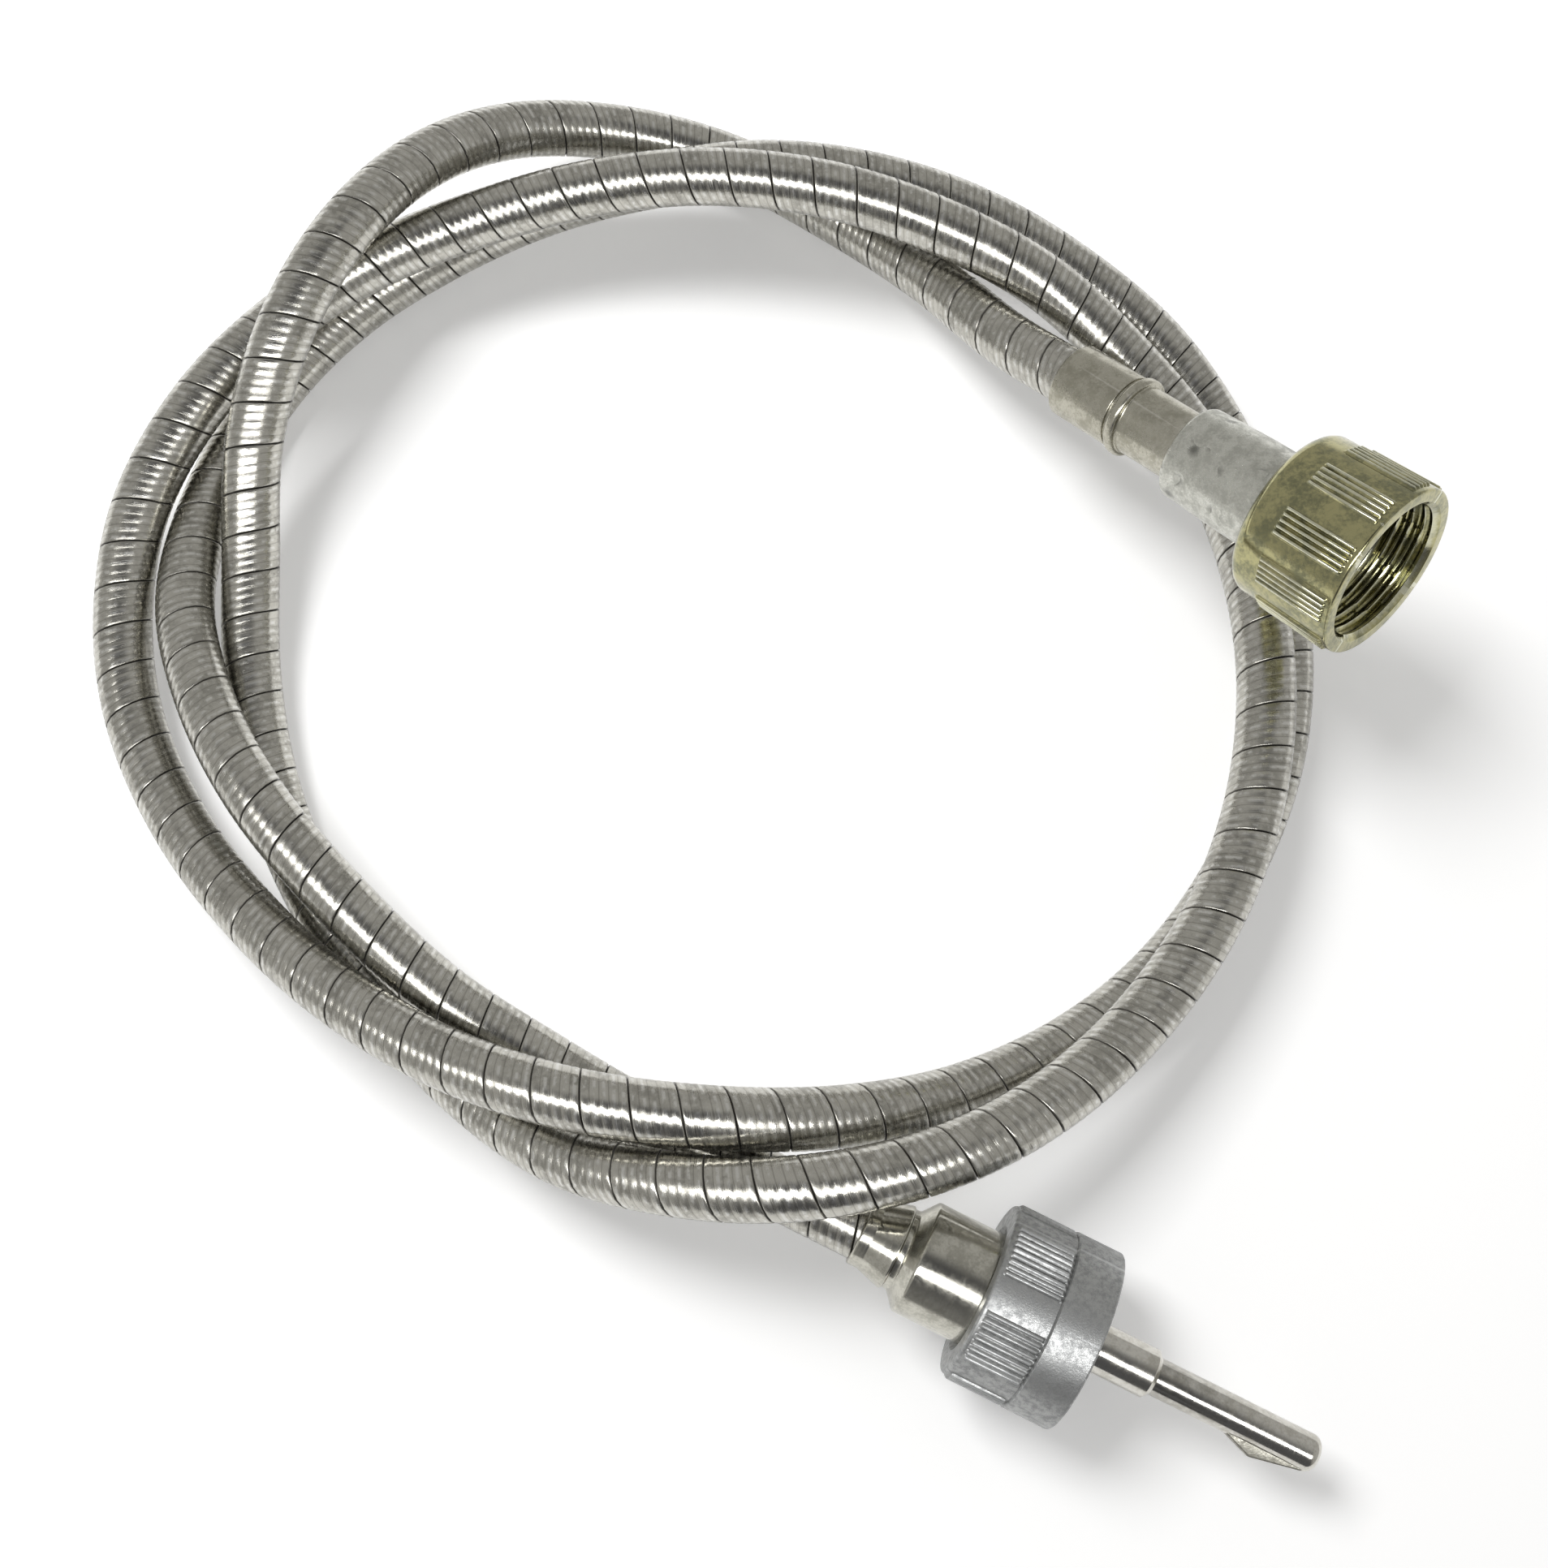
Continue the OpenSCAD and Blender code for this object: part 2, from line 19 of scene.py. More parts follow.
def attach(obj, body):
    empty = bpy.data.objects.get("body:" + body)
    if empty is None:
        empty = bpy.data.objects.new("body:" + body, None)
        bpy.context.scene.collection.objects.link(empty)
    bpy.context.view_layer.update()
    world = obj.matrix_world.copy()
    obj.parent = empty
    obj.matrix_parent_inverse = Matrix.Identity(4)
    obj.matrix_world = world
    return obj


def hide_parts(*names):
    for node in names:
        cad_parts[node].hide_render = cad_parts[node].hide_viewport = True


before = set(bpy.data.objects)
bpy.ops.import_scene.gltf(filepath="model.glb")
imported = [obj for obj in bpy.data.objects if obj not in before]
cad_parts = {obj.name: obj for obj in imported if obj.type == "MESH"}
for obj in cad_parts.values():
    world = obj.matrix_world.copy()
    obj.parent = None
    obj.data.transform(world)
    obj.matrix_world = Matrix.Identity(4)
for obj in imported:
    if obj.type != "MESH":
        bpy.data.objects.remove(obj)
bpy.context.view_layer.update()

LOG = logging.getLogger("drive_cable")
MM = 0.001
UP = Vector((0.0, 0.0, 1.0))
TOUCHING = 1e-6
WHITE = (1.0, 1.0, 1.0, 1.0)

Colour = tuple[float, float, float, float]
Outline = list[tuple[float, float]]


class Body(str, Enum):
    """The bodies of the frame that new pieces ride on."""

    CASING = "casing"
    INSTRUMENT_NUT = "instrument_nut"
    DRIVE_NUT = "drive_nut"
    DRIVE_TIP = "drive_tip"


class Edge:
    """How far turned edges are rounded."""

    CRISP = 0.08 * MM
    KEEN = 0.1 * MM
    FINE = 0.12 * MM
    MILD = 0.15 * MM
    SOFT = 0.2 * MM
    EASED = 0.3 * MM
    FULL = 0.4 * MM


class Slot(str, Enum):
    """The record's material slots, handed along with new pieces but not applied to them."""

    CASING = "casing_steel"
    FERRULE = "ferrule_steel"
    SPIGOT = "spigot_zinc"
    PIN = "pin_steel"
    GOLD_NUT = "nut_gold"
    SLEEVE = "ferrule_nickel"
    GREY_NUT = "nut_zinc"


def colour(red: int, green: int, blue: int) -> Colour:
    """Turns a display colour into the linear one that a shader takes.

    Args:
        red: Red, from 0 to 255.
        green: Green, from 0 to 255.
        blue: Blue, from 0 to 255.

    Returns:
        The linear colour, opaque.
    """
    shares = [part / 255 for part in (red, green, blue)]
    linear = [s / 12.92 if s <= 0.04045 else ((s + 0.055) / 1.055) ** 2.4 for s in shares]
    return (*linear, 1.0)


# ---------------------------------------------------------------- shader sketching


class Sketch:
    """Adds nodes to one node tree and links them."""

    def __init__(self, tree: bpy.types.NodeTree) -> None:
        """Starts on an emptied tree."""
        self.tree = tree
        self.tree.nodes.clear()

    def add(self, kind: str, **values: object) -> bpy.types.Node:
        """Adds a node.

        Args:
            kind: The node's type, without the ShaderNode prefix for shader nodes.
            **values: Properties of the node, and inputs by name with spaces as underscores.

        Returns:
            The new node.
        """
        known = kind if kind.startswith("NodeGroup") else f"ShaderNode{kind}"
        node = self.tree.nodes.new(known)
        for name, value in values.items():
            if hasattr(node, name) and name not in node.inputs:
                setattr(node, name, value)
            else:
                self.feed(node, name.replace("_", " "), value)
        return node

    def feed(self, node: bpy.types.Node, socket: str | int, value: object) -> None:
        """Links an output to an input, or sets the input's own value."""
        target = node.inputs[socket]
        if isinstance(value, bpy.types.NodeSocket):
            self.tree.links.new(value, target)
        else:
            target.default_value = value

    def math(self, operation: str, *values: object, clamp: bool = False) -> bpy.types.NodeSocket:
        """Works out one sum on numbers or outputs, and returns its output."""
        node = self.add("Math", operation=operation, use_clamp=clamp)
        for index, value in enumerate(values):
            self.feed(node, index, value)
        return node.outputs[0]

    def mix(self, share: object, low: object, high: object) -> bpy.types.NodeSocket:
        """Mixes two colours by a share, and returns the colour."""
        node = self.add("Mix", data_type="RGBA")
        for index, value in ((0, share), (6, low), (7, high)):
            self.feed(node, index, value)
        return node.outputs[2]

    def ramp(self, value: object, start: float, end: float) -> bpy.types.NodeSocket:
        """Spreads a value between two limits smoothly over 0 to 1."""
        node = self.add("MapRange", interpolation_type="SMOOTHSTEP")
        for index, given in ((0, value), (1, start), (2, end)):
            self.feed(node, index, given)
        return node.outputs[0]

    def span(self, value: object, low: float, high: float) -> bpy.types.NodeSocket:
        """Maps 0 to 1 onto a low and a high number."""
        node = self.add("MapRange")
        for index, given in ((0, value), (3, low), (4, high)):
            self.feed(node, index, given)
        return node.outputs[0]

    def noise(
        self, vector: object, scale: object, detail: float, rough: float = 0.5
    ) -> bpy.types.NodeSocket:
        """Adds a noise pattern, and returns its value."""
        node = self.add("TexNoise", Vector=vector, Scale=scale, Detail=detail, Roughness=rough)
        return node.outputs[0]

    def group(self, tree: bpy.types.NodeTree, **values: object) -> bpy.types.Node:
        """Places a node group with its own values."""
        node = self.add("Group", node_tree=tree)
        for name, value in values.items():
            self.feed(node, name.replace("_", " "), value)
        return node


@dataclass(frozen=True)
class GroupSocket:
    """One named socket of a node group."""

    name: str
    kind: str
    value: object = None

    def make(self, tree: bpy.types.NodeTree, direction: str) -> None:
        """Adds the socket to the group's interface."""
        kind = f"NodeSocket{self.kind}"
        socket = tree.interface.new_socket(self.name, in_out=direction, socket_type=kind)
        if self.value is not None:
            socket.default_value = self.value


class Effects:
    """Surface effects that several finishes share, each a node group that is built once."""

    MOTTLE_FINER = 5.3
    MOTTLE_BROAD_SHARE = 0.62
    MOTTLE_LIMITS = (0.4, 0.62)
    SCRATCH_LIMITS = (0.56, 0.7)
    PIT_CLUSTERS = 0.7
    PIT_RIM = (0.05, 0.42)
    EDGE_NOISE = 1600.0
    EDGE_JITTER = 0.03
    EDGE_OUTER = 0.52
    EDGE_INNER = 0.48

    def _group(
        self, name: str, takes: list[GroupSocket], gives: list[GroupSocket]
    ) -> tuple[Sketch, bpy.types.Node, bpy.types.Node]:
        """Starts a group with its sockets.

        Args:
            name: The group's name.
            takes: The sockets that it reads.
            gives: The sockets that it puts out.

        Returns:
            The sketch of its tree, its input node and its output node.
        """
        tree = bpy.data.node_groups.new(name, "ShaderNodeTree")
        for socket in takes:
            socket.make(tree, "INPUT")
        for socket in gives:
            socket.make(tree, "OUTPUT")
        sketch = Sketch(tree)
        return sketch, sketch.add("NodeGroupInput"), sketch.add("NodeGroupOutput")

    @cached_property
    def mottle(self) -> bpy.types.NodeTree:
        """Patches of two tones, with a finer pattern broken into them."""
        takes = [
            GroupSocket("Vector", "Vector"),
            GroupSocket("Scale", "Float", 400.0),
            GroupSocket("Pale", "Color", colour(200, 200, 200)),
            GroupSocket("Deep", "Color", colour(90, 90, 90)),
        ]
        gives = [GroupSocket("Color", "Color"), GroupSocket("Mask", "Float")]
        sketch, source, result = self._group("mottle", takes, gives)
        broad = sketch.noise(source.outputs["Vector"], source.outputs["Scale"], 4.0, 0.6)
        finer = sketch.math("MULTIPLY", source.outputs["Scale"], self.MOTTLE_FINER)
        grain = sketch.noise(source.outputs["Vector"], finer, 3.0, 0.65)
        broad = sketch.math("MULTIPLY", broad, self.MOTTLE_BROAD_SHARE)
        grain = sketch.math("MULTIPLY", grain, 1 - self.MOTTLE_BROAD_SHARE)
        mask = sketch.ramp(sketch.math("ADD", broad, grain), *self.MOTTLE_LIMITS)
        tone = sketch.mix(mask, source.outputs["Pale"], source.outputs["Deep"])
        sketch.feed(result, "Color", tone)
        sketch.feed(result, "Mask", mask)
        return sketch.tree

    @cached_property
    def scratches(self) -> bpy.types.NodeTree:
        """Fine marks that run one way, as a height and a mask."""
        takes = [GroupSocket("Vector", "Vector"), GroupSocket("Scale", "Float", 3000.0)]
        gives = [GroupSocket("Height", "Float"), GroupSocket("Mask", "Float")]
        sketch, source, result = self._group("scratches", takes, gives)
        height = sketch.noise(source.outputs["Vector"], source.outputs["Scale"], 2.0, 0.7)
        sketch.feed(result, "Height", height)
        sketch.feed(result, "Mask", sketch.ramp(height, *self.SCRATCH_LIMITS))
        return sketch.tree

    @cached_property
    def pits(self) -> bpy.types.NodeTree:
        """Scattered small dents, as a height that falls in them and a mask of their floors."""
        takes = [
            GroupSocket("Vector", "Vector"),
            GroupSocket("Scale", "Float", 900.0),
            GroupSocket("Spread", "Float", 0.5),
        ]
        gives = [GroupSocket("Height", "Float"), GroupSocket("Mask", "Float")]
        sketch, source, result = self._group("pits", takes, gives)
        cells = sketch.add(
            "TexVoronoi", Vector=source.outputs["Vector"], Scale=source.outputs["Scale"], Randomness=1.0
        )
        rarer = sketch.math("MULTIPLY", source.outputs["Scale"], self.PIT_CLUSTERS)
        chosen = sketch.noise(source.outputs["Vector"], rarer, 1.0)
        here = sketch.math("GREATER_THAN", chosen, source.outputs["Spread"])
        dent = sketch.math("SUBTRACT", 1.0, sketch.ramp(cells.outputs["Distance"], *self.PIT_RIM))
        mask = sketch.math("MULTIPLY", dent, here)
        sketch.feed(result, "Mask", mask)
        sketch.feed(result, "Height", sketch.math("SUBTRACT", 1.0, mask))
        return sketch.tree

    @cached_property
    def edges(self) -> bpy.types.NodeTree:
        """Masks of the worn outer edges and of the inner corners, where shade is painted in."""
        takes = [GroupSocket("Vector", "Vector"), GroupSocket("Reach", "Float", 0.06)]
        gives = [GroupSocket("Worn", "Float"), GroupSocket("Corner Shade", "Float")]
        sketch, source, result = self._group("edges", takes, gives)
        point = sketch.add("NewGeometry").outputs["Pointiness"]
        broken = sketch.noise(source.outputs["Vector"], self.EDGE_NOISE, 3.0)
        jitter = sketch.span(broken, -self.EDGE_JITTER, self.EDGE_JITTER)
        value = sketch.math("ADD", point, jitter)
        outer = sketch.math("SUBTRACT", value, self.EDGE_OUTER)
        inner = sketch.math("SUBTRACT", self.EDGE_INNER, value)
        # the inner-corner mask darkens the corners as painted shade
        for mask, depth in (("Worn", outer), ("Corner Shade", inner)):
            reached = sketch.math("DIVIDE", depth, source.outputs["Reach"])
            sketch.feed(result, mask, sketch.ramp(reached, 0.0, 1.0))
        return sketch.tree


EFFECTS = Effects()


@dataclass(frozen=True)
class Finish:
    """A finish that reads the piece's own place: its tones, gloss and marks."""

    name: str
    pale: Colour
    deep: Colour
    metallic: float
    roughness: tuple[float, float]
    patch: float = 300.0
    worn: Colour = colour(225, 222, 214)
    worn_share: float = 0.0
    # painted shade: a dark tone laid into the inner corners, and how strongly
    corner_shade: Colour = colour(40, 36, 30)
    corner_shade_share: float = 0.0
    grain: float = 5000.0
    grain_depth: float = 4e-6
    pit_scale: float = 900.0
    pit_spread: float = 1.0
    pit_depth: float = 0.0
    pit_tone: Colour = colour(90, 90, 88)
    coat: float = 0.0
    coat_roughness: float = 0.12
    mark_gloss: float = 0.5
    turned: bool = False
    turned_stretch: float = 0.02

    def material(self, axis: "FittingAxis | None" = None) -> bpy.types.Material:
        """Builds the finish.

        Args:
            axis: The axis that tool marks run round, for a turned piece.

        Returns:
            The material.
        """
        made = bpy.data.materials.new(self.name)
        made.use_nodes = True
        sketch = Sketch(made.node_tree)
        place = sketch.add("TexCoord").outputs["Object"]
        tones = {"Pale": self.pale, "Deep": self.deep}
        tone = sketch.group(EFFECTS.mottle, Vector=place, Scale=self.patch, **tones)
        edges = sketch.group(EFFECTS.edges, Vector=place)
        grain_place = self._grain_place(sketch, place, axis)
        marks = sketch.group(EFFECTS.scratches, Vector=grain_place, Scale=self.grain)
        spread = {"Scale": self.pit_scale, "Spread": self.pit_spread}
        pits = sketch.group(EFFECTS.pits, Vector=place, **spread)
        shade = sketch.mix(pits.outputs["Mask"], tone.outputs["Color"], self.pit_tone)
        worn = sketch.math("MULTIPLY", edges.outputs["Worn"], self.worn_share)
        shade = sketch.mix(worn, shade, self.worn)
        # painted shade: darkens the inner corners
        corner_shade = sketch.math("MULTIPLY", edges.outputs["Corner Shade"], self.corner_shade_share)
        shade = sketch.mix(corner_shade, shade, self.corner_shade)
        marked = sketch.math("MULTIPLY", marks.outputs["Mask"], self.mark_gloss)
        gloss = sketch.math("ADD", tone.outputs["Mask"], marked)
        dents = sketch.math("MULTIPLY", pits.outputs["Height"], self.pit_depth)
        lines = sketch.math("MULTIPLY", marks.outputs["Height"], self.grain_depth)
        relief = sketch.math("ADD", lines, dents)
        bump = sketch.add("Bump", Height=relief, Distance=1.0)
        shader = sketch.add(
            "BsdfPrincipled",
            Base_Color=shade,
            Metallic=self.metallic,
            Roughness=sketch.span(gloss, *self.roughness),
            Normal=bump.outputs[0],
            Coat_Weight=self.coat,
            Coat_Roughness=self.coat_roughness,
        )
        sketch.add("OutputMaterial", Surface=shader.outputs[0])
        return made

    def _grain_place(
        self, sketch: Sketch, place: bpy.types.NodeSocket, axis: "FittingAxis | None"
    ) -> bpy.types.NodeSocket:
        """Gives the place that the grain reads, drawn out round the axis on a turned piece."""
        if not self.turned or axis is None:
            return place
        turn = axis.matrix().to_3x3().inverted().to_euler()
        lay = sketch.add("Mapping", Vector=place, Rotation=turn)
        parts = sketch.add("SeparateXYZ", Vector=lay.outputs[0])
        joined = sketch.add("CombineXYZ", Z=parts.outputs[2])
        for index in (0, 1):
            drawn_out = sketch.math("MULTIPLY", parts.outputs[index], self.turned_stretch)
            sketch.feed(joined, index, drawn_out)
        return joined.outputs[0]


@dataclass(frozen=True)
class WindingFinish:
    """Galvanised wound wire: faint wires, dark seams, a tone of its own on each wire, a painted highlight on
    each wire's crown and painted shade in the grooves between the wires.
    """

    wires: int
    name: str = "wound_galvanised_steel"
    pale: Colour = colour(190, 188, 180)
    deep: Colour = colour(142, 140, 133)
    # painted highlight: the colour laid on the wire crowns
    crown_highlight: Colour = colour(210, 209, 204)
    seam: Colour = colour(44, 40, 34)
    # painted shade: the colour laid in the grooves between the wires
    groove_shade: Colour = colour(104, 100, 92)
    seam_share: float = 0.024
    seam_reach: tuple[float, float] = (1.6, 0.5)
    seam_noise: float = 420.0
    seam_opening: tuple[float, float] = (0.35, 1.25)
    seam_dullness: float = 0.7
    valley_limits: tuple[float, float] = (0.38, 0.5)
    valley_shade: tuple[float, float] = (0.2, 0.588)
    crown_limits: tuple[float, float] = (0.05, 0.3)
    crown_noise: float = 900.0
    crown_broken: tuple[float, float] = (0.45, 0.6)
    strip_rate: float = 1.7
    strip_limits: tuple[float, float] = (0.3, 0.75)
    patch: float = 320.0
    patch_gloss: float = 0.7
    mark_rates: tuple[float, float] = (6.0, 60.0)
    mark_depth: float = 1.4e-5
    roughness: tuple[float, float] = (0.17, 0.36)

    def material(self) -> bpy.types.Material:
        """Builds the finish from the map laid along the wires."""
        made = bpy.data.materials.new(self.name)
        made.use_nodes = True
        sketch = Sketch(made.node_tree)
        place = sketch.add("TexCoord").outputs["Object"]
        lay = sketch.add("UVMap", uv_map=WoundCasing.LAY).outputs[0]
        lay = sketch.add("SeparateXYZ", Vector=lay)
        turns, across = lay.outputs[0], lay.outputs[1]
        wire = sketch.math("MULTIPLY", across, float(self.wires))
        number = sketch.math("FLOOR", wire)
        from_middle = sketch.math("SUBTRACT", sketch.math("FRACT", wire), 0.5)
        from_middle = sketch.math("ABSOLUTE", from_middle)
        groove_shade = sketch.ramp(from_middle, *self.valley_limits)
        crown_highlight = sketch.math("SUBTRACT", 1.0, sketch.ramp(from_middle, *self.crown_limits))
        off_seam = sketch.math("ABSOLUTE", sketch.math("SUBTRACT", across, 0.5))
        seam = sketch.ramp(off_seam, *(0.5 - reach * self.seam_share for reach in self.seam_reach))
        along_wire = sketch.math("MULTIPLY", turns, self.strip_rate)
        along_wire = sketch.add("CombineXYZ", X=along_wire, Y=number)
        strip = sketch.noise(along_wire.outputs[0], 1.0, 3.0, 0.6)
        tones = {"Pale": self.pale, "Deep": self.deep}
        tone = sketch.group(EFFECTS.mottle, Vector=place, Scale=self.patch, **tones)
        shade = sketch.mix(sketch.ramp(strip, *self.strip_limits), tone.outputs["Color"], self.pale)
        # painted highlight on the wire crowns, broken up by noise
        broken = sketch.ramp(sketch.noise(place, self.crown_noise, 3.0), *self.crown_broken)
        shade = sketch.mix(sketch.math("MULTIPLY", crown_highlight, broken), shade, self.crown_highlight)
        # painted shade in the grooves between the wires, its strength varied along each wire
        faded = sketch.span(strip, *self.valley_shade)
        shade = sketch.mix(sketch.math("MULTIPLY", groove_shade, faded), shade, self.groove_shade)
        open_here = sketch.span(sketch.noise(place, self.seam_noise, 2.0), *self.seam_opening)
        seam = sketch.math("MULTIPLY", seam, open_here, clamp=True)
        shade = sketch.mix(seam, shade, self.seam)
        fine = sketch.add("CombineXYZ")
        for index, (part, rate) in enumerate(zip((turns, across), self.mark_rates)):
            sketch.feed(fine, index, sketch.math("MULTIPLY", part, rate))
        marks = sketch.group(EFFECTS.scratches, Vector=fine.outputs[0], Scale=1.0)
        dulled = sketch.math("MULTIPLY", tone.outputs["Mask"], self.patch_gloss)
        gloss = sketch.math("ADD", dulled, marks.outputs["Mask"])
        relief = sketch.math("MULTIPLY", marks.outputs["Height"], self.mark_depth)
        bump = sketch.add("Bump", Height=relief, Distance=1.0)
        dull = sketch.math("MULTIPLY", seam, self.seam_dullness)
        shader = sketch.add(
            "BsdfPrincipled",
            Base_Color=shade,
            Metallic=sketch.math("SUBTRACT", 1.0, dull),
            Roughness=sketch.span(gloss, *self.roughness),
            Normal=bump.outputs[0],
        )
        sketch.add("OutputMaterial", Surface=shader.outputs[0])
        return made


# In these finishes the dark corner colour and its share set painted shade in the inner corners.
GRIP_STEEL = Finish(
    "satin_ferrule_steel", colour(184, 181, 168), colour(158, 155, 141), 1.0, (0.22, 0.36),
    patch=520.0, worn_share=0.4, corner_shade_share=0.5, grain=2400.0, grain_depth=1.0e-5, turned=True,
)
SPIGOT_ZINC = Finish(
    "matt_cast_zinc", colour(206, 206, 198), colour(176, 176, 168), 0.95, (0.26, 0.42),
    patch=760.0, worn_share=0.4, corner_shade_share=0.5, grain=3800.0, grain_depth=1.6e-5,
    pit_scale=380.0, pit_spread=0.53, pit_depth=1.6e-4, pit_tone=colour(128, 128, 122),
)
GOLD_NUT = Finish(
    "yellow_passivated_zinc", colour(176, 171, 127), colour(128, 128, 99), 1.0, (0.1, 0.24),
    patch=420.0, worn=colour(226, 226, 206), worn_share=0.7, corner_shade=colour(38, 36, 24),
    corner_shade_share=0.85, grain=3400.0, grain_depth=5e-6, coat=0.25,
)
GREY_NUT = Finish(
    "sandy_cast_zinc", colour(168, 169, 168), colour(142, 143, 143), 0.8, (0.34, 0.5),
    patch=1500.0, worn=colour(214, 216, 217), worn_share=0.35, corner_shade=colour(60, 60, 60),
    corner_shade_share=0.7, grain=5200.0, grain_depth=2.2e-5,
)
SLEEVE_NICKEL = Finish(
    "warm_bright_nickel", colour(196, 194, 184), colour(168, 166, 156), 1.0, (0.11, 0.22),
    patch=520.0, worn=colour(226, 222, 210), worn_share=0.4, corner_shade=colour(54, 46, 36),
    corner_shade_share=0.6, grain=2600.0, grain_depth=6e-6, turned=True,
)
PIN_STEEL = Finish(
    "ground_pin_steel", colour(212, 210, 203), colour(190, 187, 178), 1.0, (0.1, 0.2),
    patch=600.0, worn_share=0.2, corner_shade_share=0.4, grain=3000.0, grain_depth=3e-6, turned=True,
)
KEY_STEEL = Finish(
    "filed_key_steel", colour(162, 160, 150), colour(122, 120, 112), 1.0, (0.3, 0.5),
    patch=900.0, grain=2600.0, grain_depth=2.4e-5,
)
WASHER_STEEL = Finish(
    "bright_washer_steel", colour(196, 196, 196), colour(150, 150, 150), 1.0, (0.22, 0.36),
    grain_depth=3e-6,
)
SPRING_STEEL = Finish(
    "dark_spring_steel", colour(86, 87, 92), colour(52, 52, 56), 1.0, (0.3, 0.46),
    grain_depth=3e-6,
)
BUSH_BRONZE = Finish(
    "oiled_bronze", colour(188, 142, 84), colour(132, 94, 52), 1.0, (0.28, 0.42),
    pit_scale=3600.0, pit_spread=0.5, pit_depth=8e-6, pit_tone=colour(96, 66, 36),
)
OILED_FELT = Finish(
    "oiled_felt", colour(112, 98, 76), colour(72, 62, 46), 0.0, (0.85, 0.95),
    patch=900.0, grain=6500.0, grain_depth=9e-5,
)
SEAL_RUBBER = Finish(
    "nitrile_rubber", colour(44, 44, 44), colour(28, 28, 28), 0.0, (0.55, 0.7),
    grain=6000.0, grain_depth=1.2e-5,
)
LINER_NYLON = Finish(
    "dark_liner_nylon", colour(58, 58, 58), colour(40, 40, 40), 0.0, (0.35, 0.5),
    grain_depth=4e-6,
)
CORE_STEEL = Finish(
    "greased_core_steel", colour(118, 118, 120), colour(72, 72, 74), 1.0, (0.28, 0.4),
    grain=2200.0, grain_depth=2e-5, coat=0.4,
)


# ---------------------------------------------------------------- turned pieces


@dataclass(frozen=True)
class Corner:
    """A corner of a lathe outline: its place along the axis, its radius and its rounding."""

    along: float
    radius: float
    rounding: float = 0.0


def rounded(corners: list[Corner], segments: int = 5) -> Outline:
    """Draws a closed outline through corners, with an arc at each rounded one.

    Args:
        corners: The corners, in order round the outline.
        segments: Straight pieces in each arc.

    Returns:
        The outline's points, each its place along the axis and its radius.
    """
    places = [Vector((corner.along, corner.radius)) for corner in corners]
    outline: Outline = []
    for index, corner in enumerate(corners):
        here = places[index]
        if corner.rounding == 0:
            outline.append(here[:])
            continue
        back = (places[index - 1] - here).normalized()
        ahead = (places[(index + 1) % len(places)] - here).normalized()
        half = back.angle(ahead) / 2
        centre = here + (back + ahead).normalized() * corner.rounding / math.sin(half)
        reach = corner.rounding / math.tan(half)
        start, end = here + back * reach, here + ahead * reach
        for step in range(segments + 1):
            outwards = (start.lerp(end, step / segments) - centre).normalized()
            outline.append((centre + outwards * corner.rounding)[:])
    return outline


def lathe(outline: Outline, steps: int) -> bmesh.types.BMesh:
    """Turns a closed outline once round the axis.

    Args:
        outline: The outline; one that starts and ends on the axis makes a solid without a bore.
        steps: Steps round the axis.

    Returns:
        The closed mesh, with its axis on Z.
    """
    mesh = bmesh.new()
    ring = [mesh.verts.new((radius, 0.0, along)) for along, radius in outline]
    on_axis = outline[0][1] == 0.0 and outline[-1][1] == 0.0
    pairs = list(zip(ring, ring[1:])) + ([] if on_axis else [(ring[-1], ring[0])])
    edges = [mesh.edges.new(pair) for pair in pairs]
    bmesh.ops.spin(
        mesh, geom=ring + edges, cent=(0, 0, 0), axis=UP, angle=math.tau, steps=steps, use_merge=True
    )
    bmesh.ops.remove_doubles(mesh, verts=mesh.verts, dist=TOUCHING / 10)
    bmesh.ops.recalc_face_normals(mesh, faces=mesh.faces)
    return mesh


def levels(start: float, end: float, spacing: float) -> list[float]:
    """Divides a stretch evenly, ends included, at about the given spacing."""
    count = max(1, round(abs(end - start) / spacing))
    return [start + (end - start) * step / count for step in range(count + 1)]


@dataclass(frozen=True)
class FittingAxis:
    """The axis of an end fitting, from the casing's mouth outwards."""

    mouth: Vector
    heading: float
    rise: float

    def matrix(self) -> Matrix:
        """Gives the transform that lays Z along the axis, from the mouth."""
        turn = Matrix.Rotation(math.radians(self.heading), 4, "Z")
        tilt = Matrix.Rotation(math.radians(90 - self.rise), 4, "Y")
        return Matrix.Translation(self.mouth) @ turn @ tilt

    def at(self, length: float) -> Vector:
        """Gives the point that lies that far out along the axis."""
        return self.matrix() @ Vector((0.0, 0.0, length))

    def span(self, node: str) -> tuple[float, float, float]:
        """Measures a node of the frame along this axis.

        Args:
            node: The node's name.

        Returns:
            Where it starts and ends along the axis, and its greatest radius.
        """
        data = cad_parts[node].data
        places = np.empty(len(data.vertices) * 3)
        data.vertices.foreach_get("co", places)
        back = np.array(self.matrix().inverted())
        local = places.reshape(-1, 3) @ back[:3, :3].T + back[:3, 3]
        return local[:, 2].min(), local[:, 2].max(), np.hypot(local[:, 0], local[:, 1]).max()


INSTRUMENT_AXIS = FittingAxis(Vector((0.0405, 0.041, 0.015)), -46.0, 20.0)
DRIVE_AXIS = FittingAxis(Vector((0.0135, -0.0595, 0.0111)), -26.0, -2.0)
TURNED_STEPS = 160


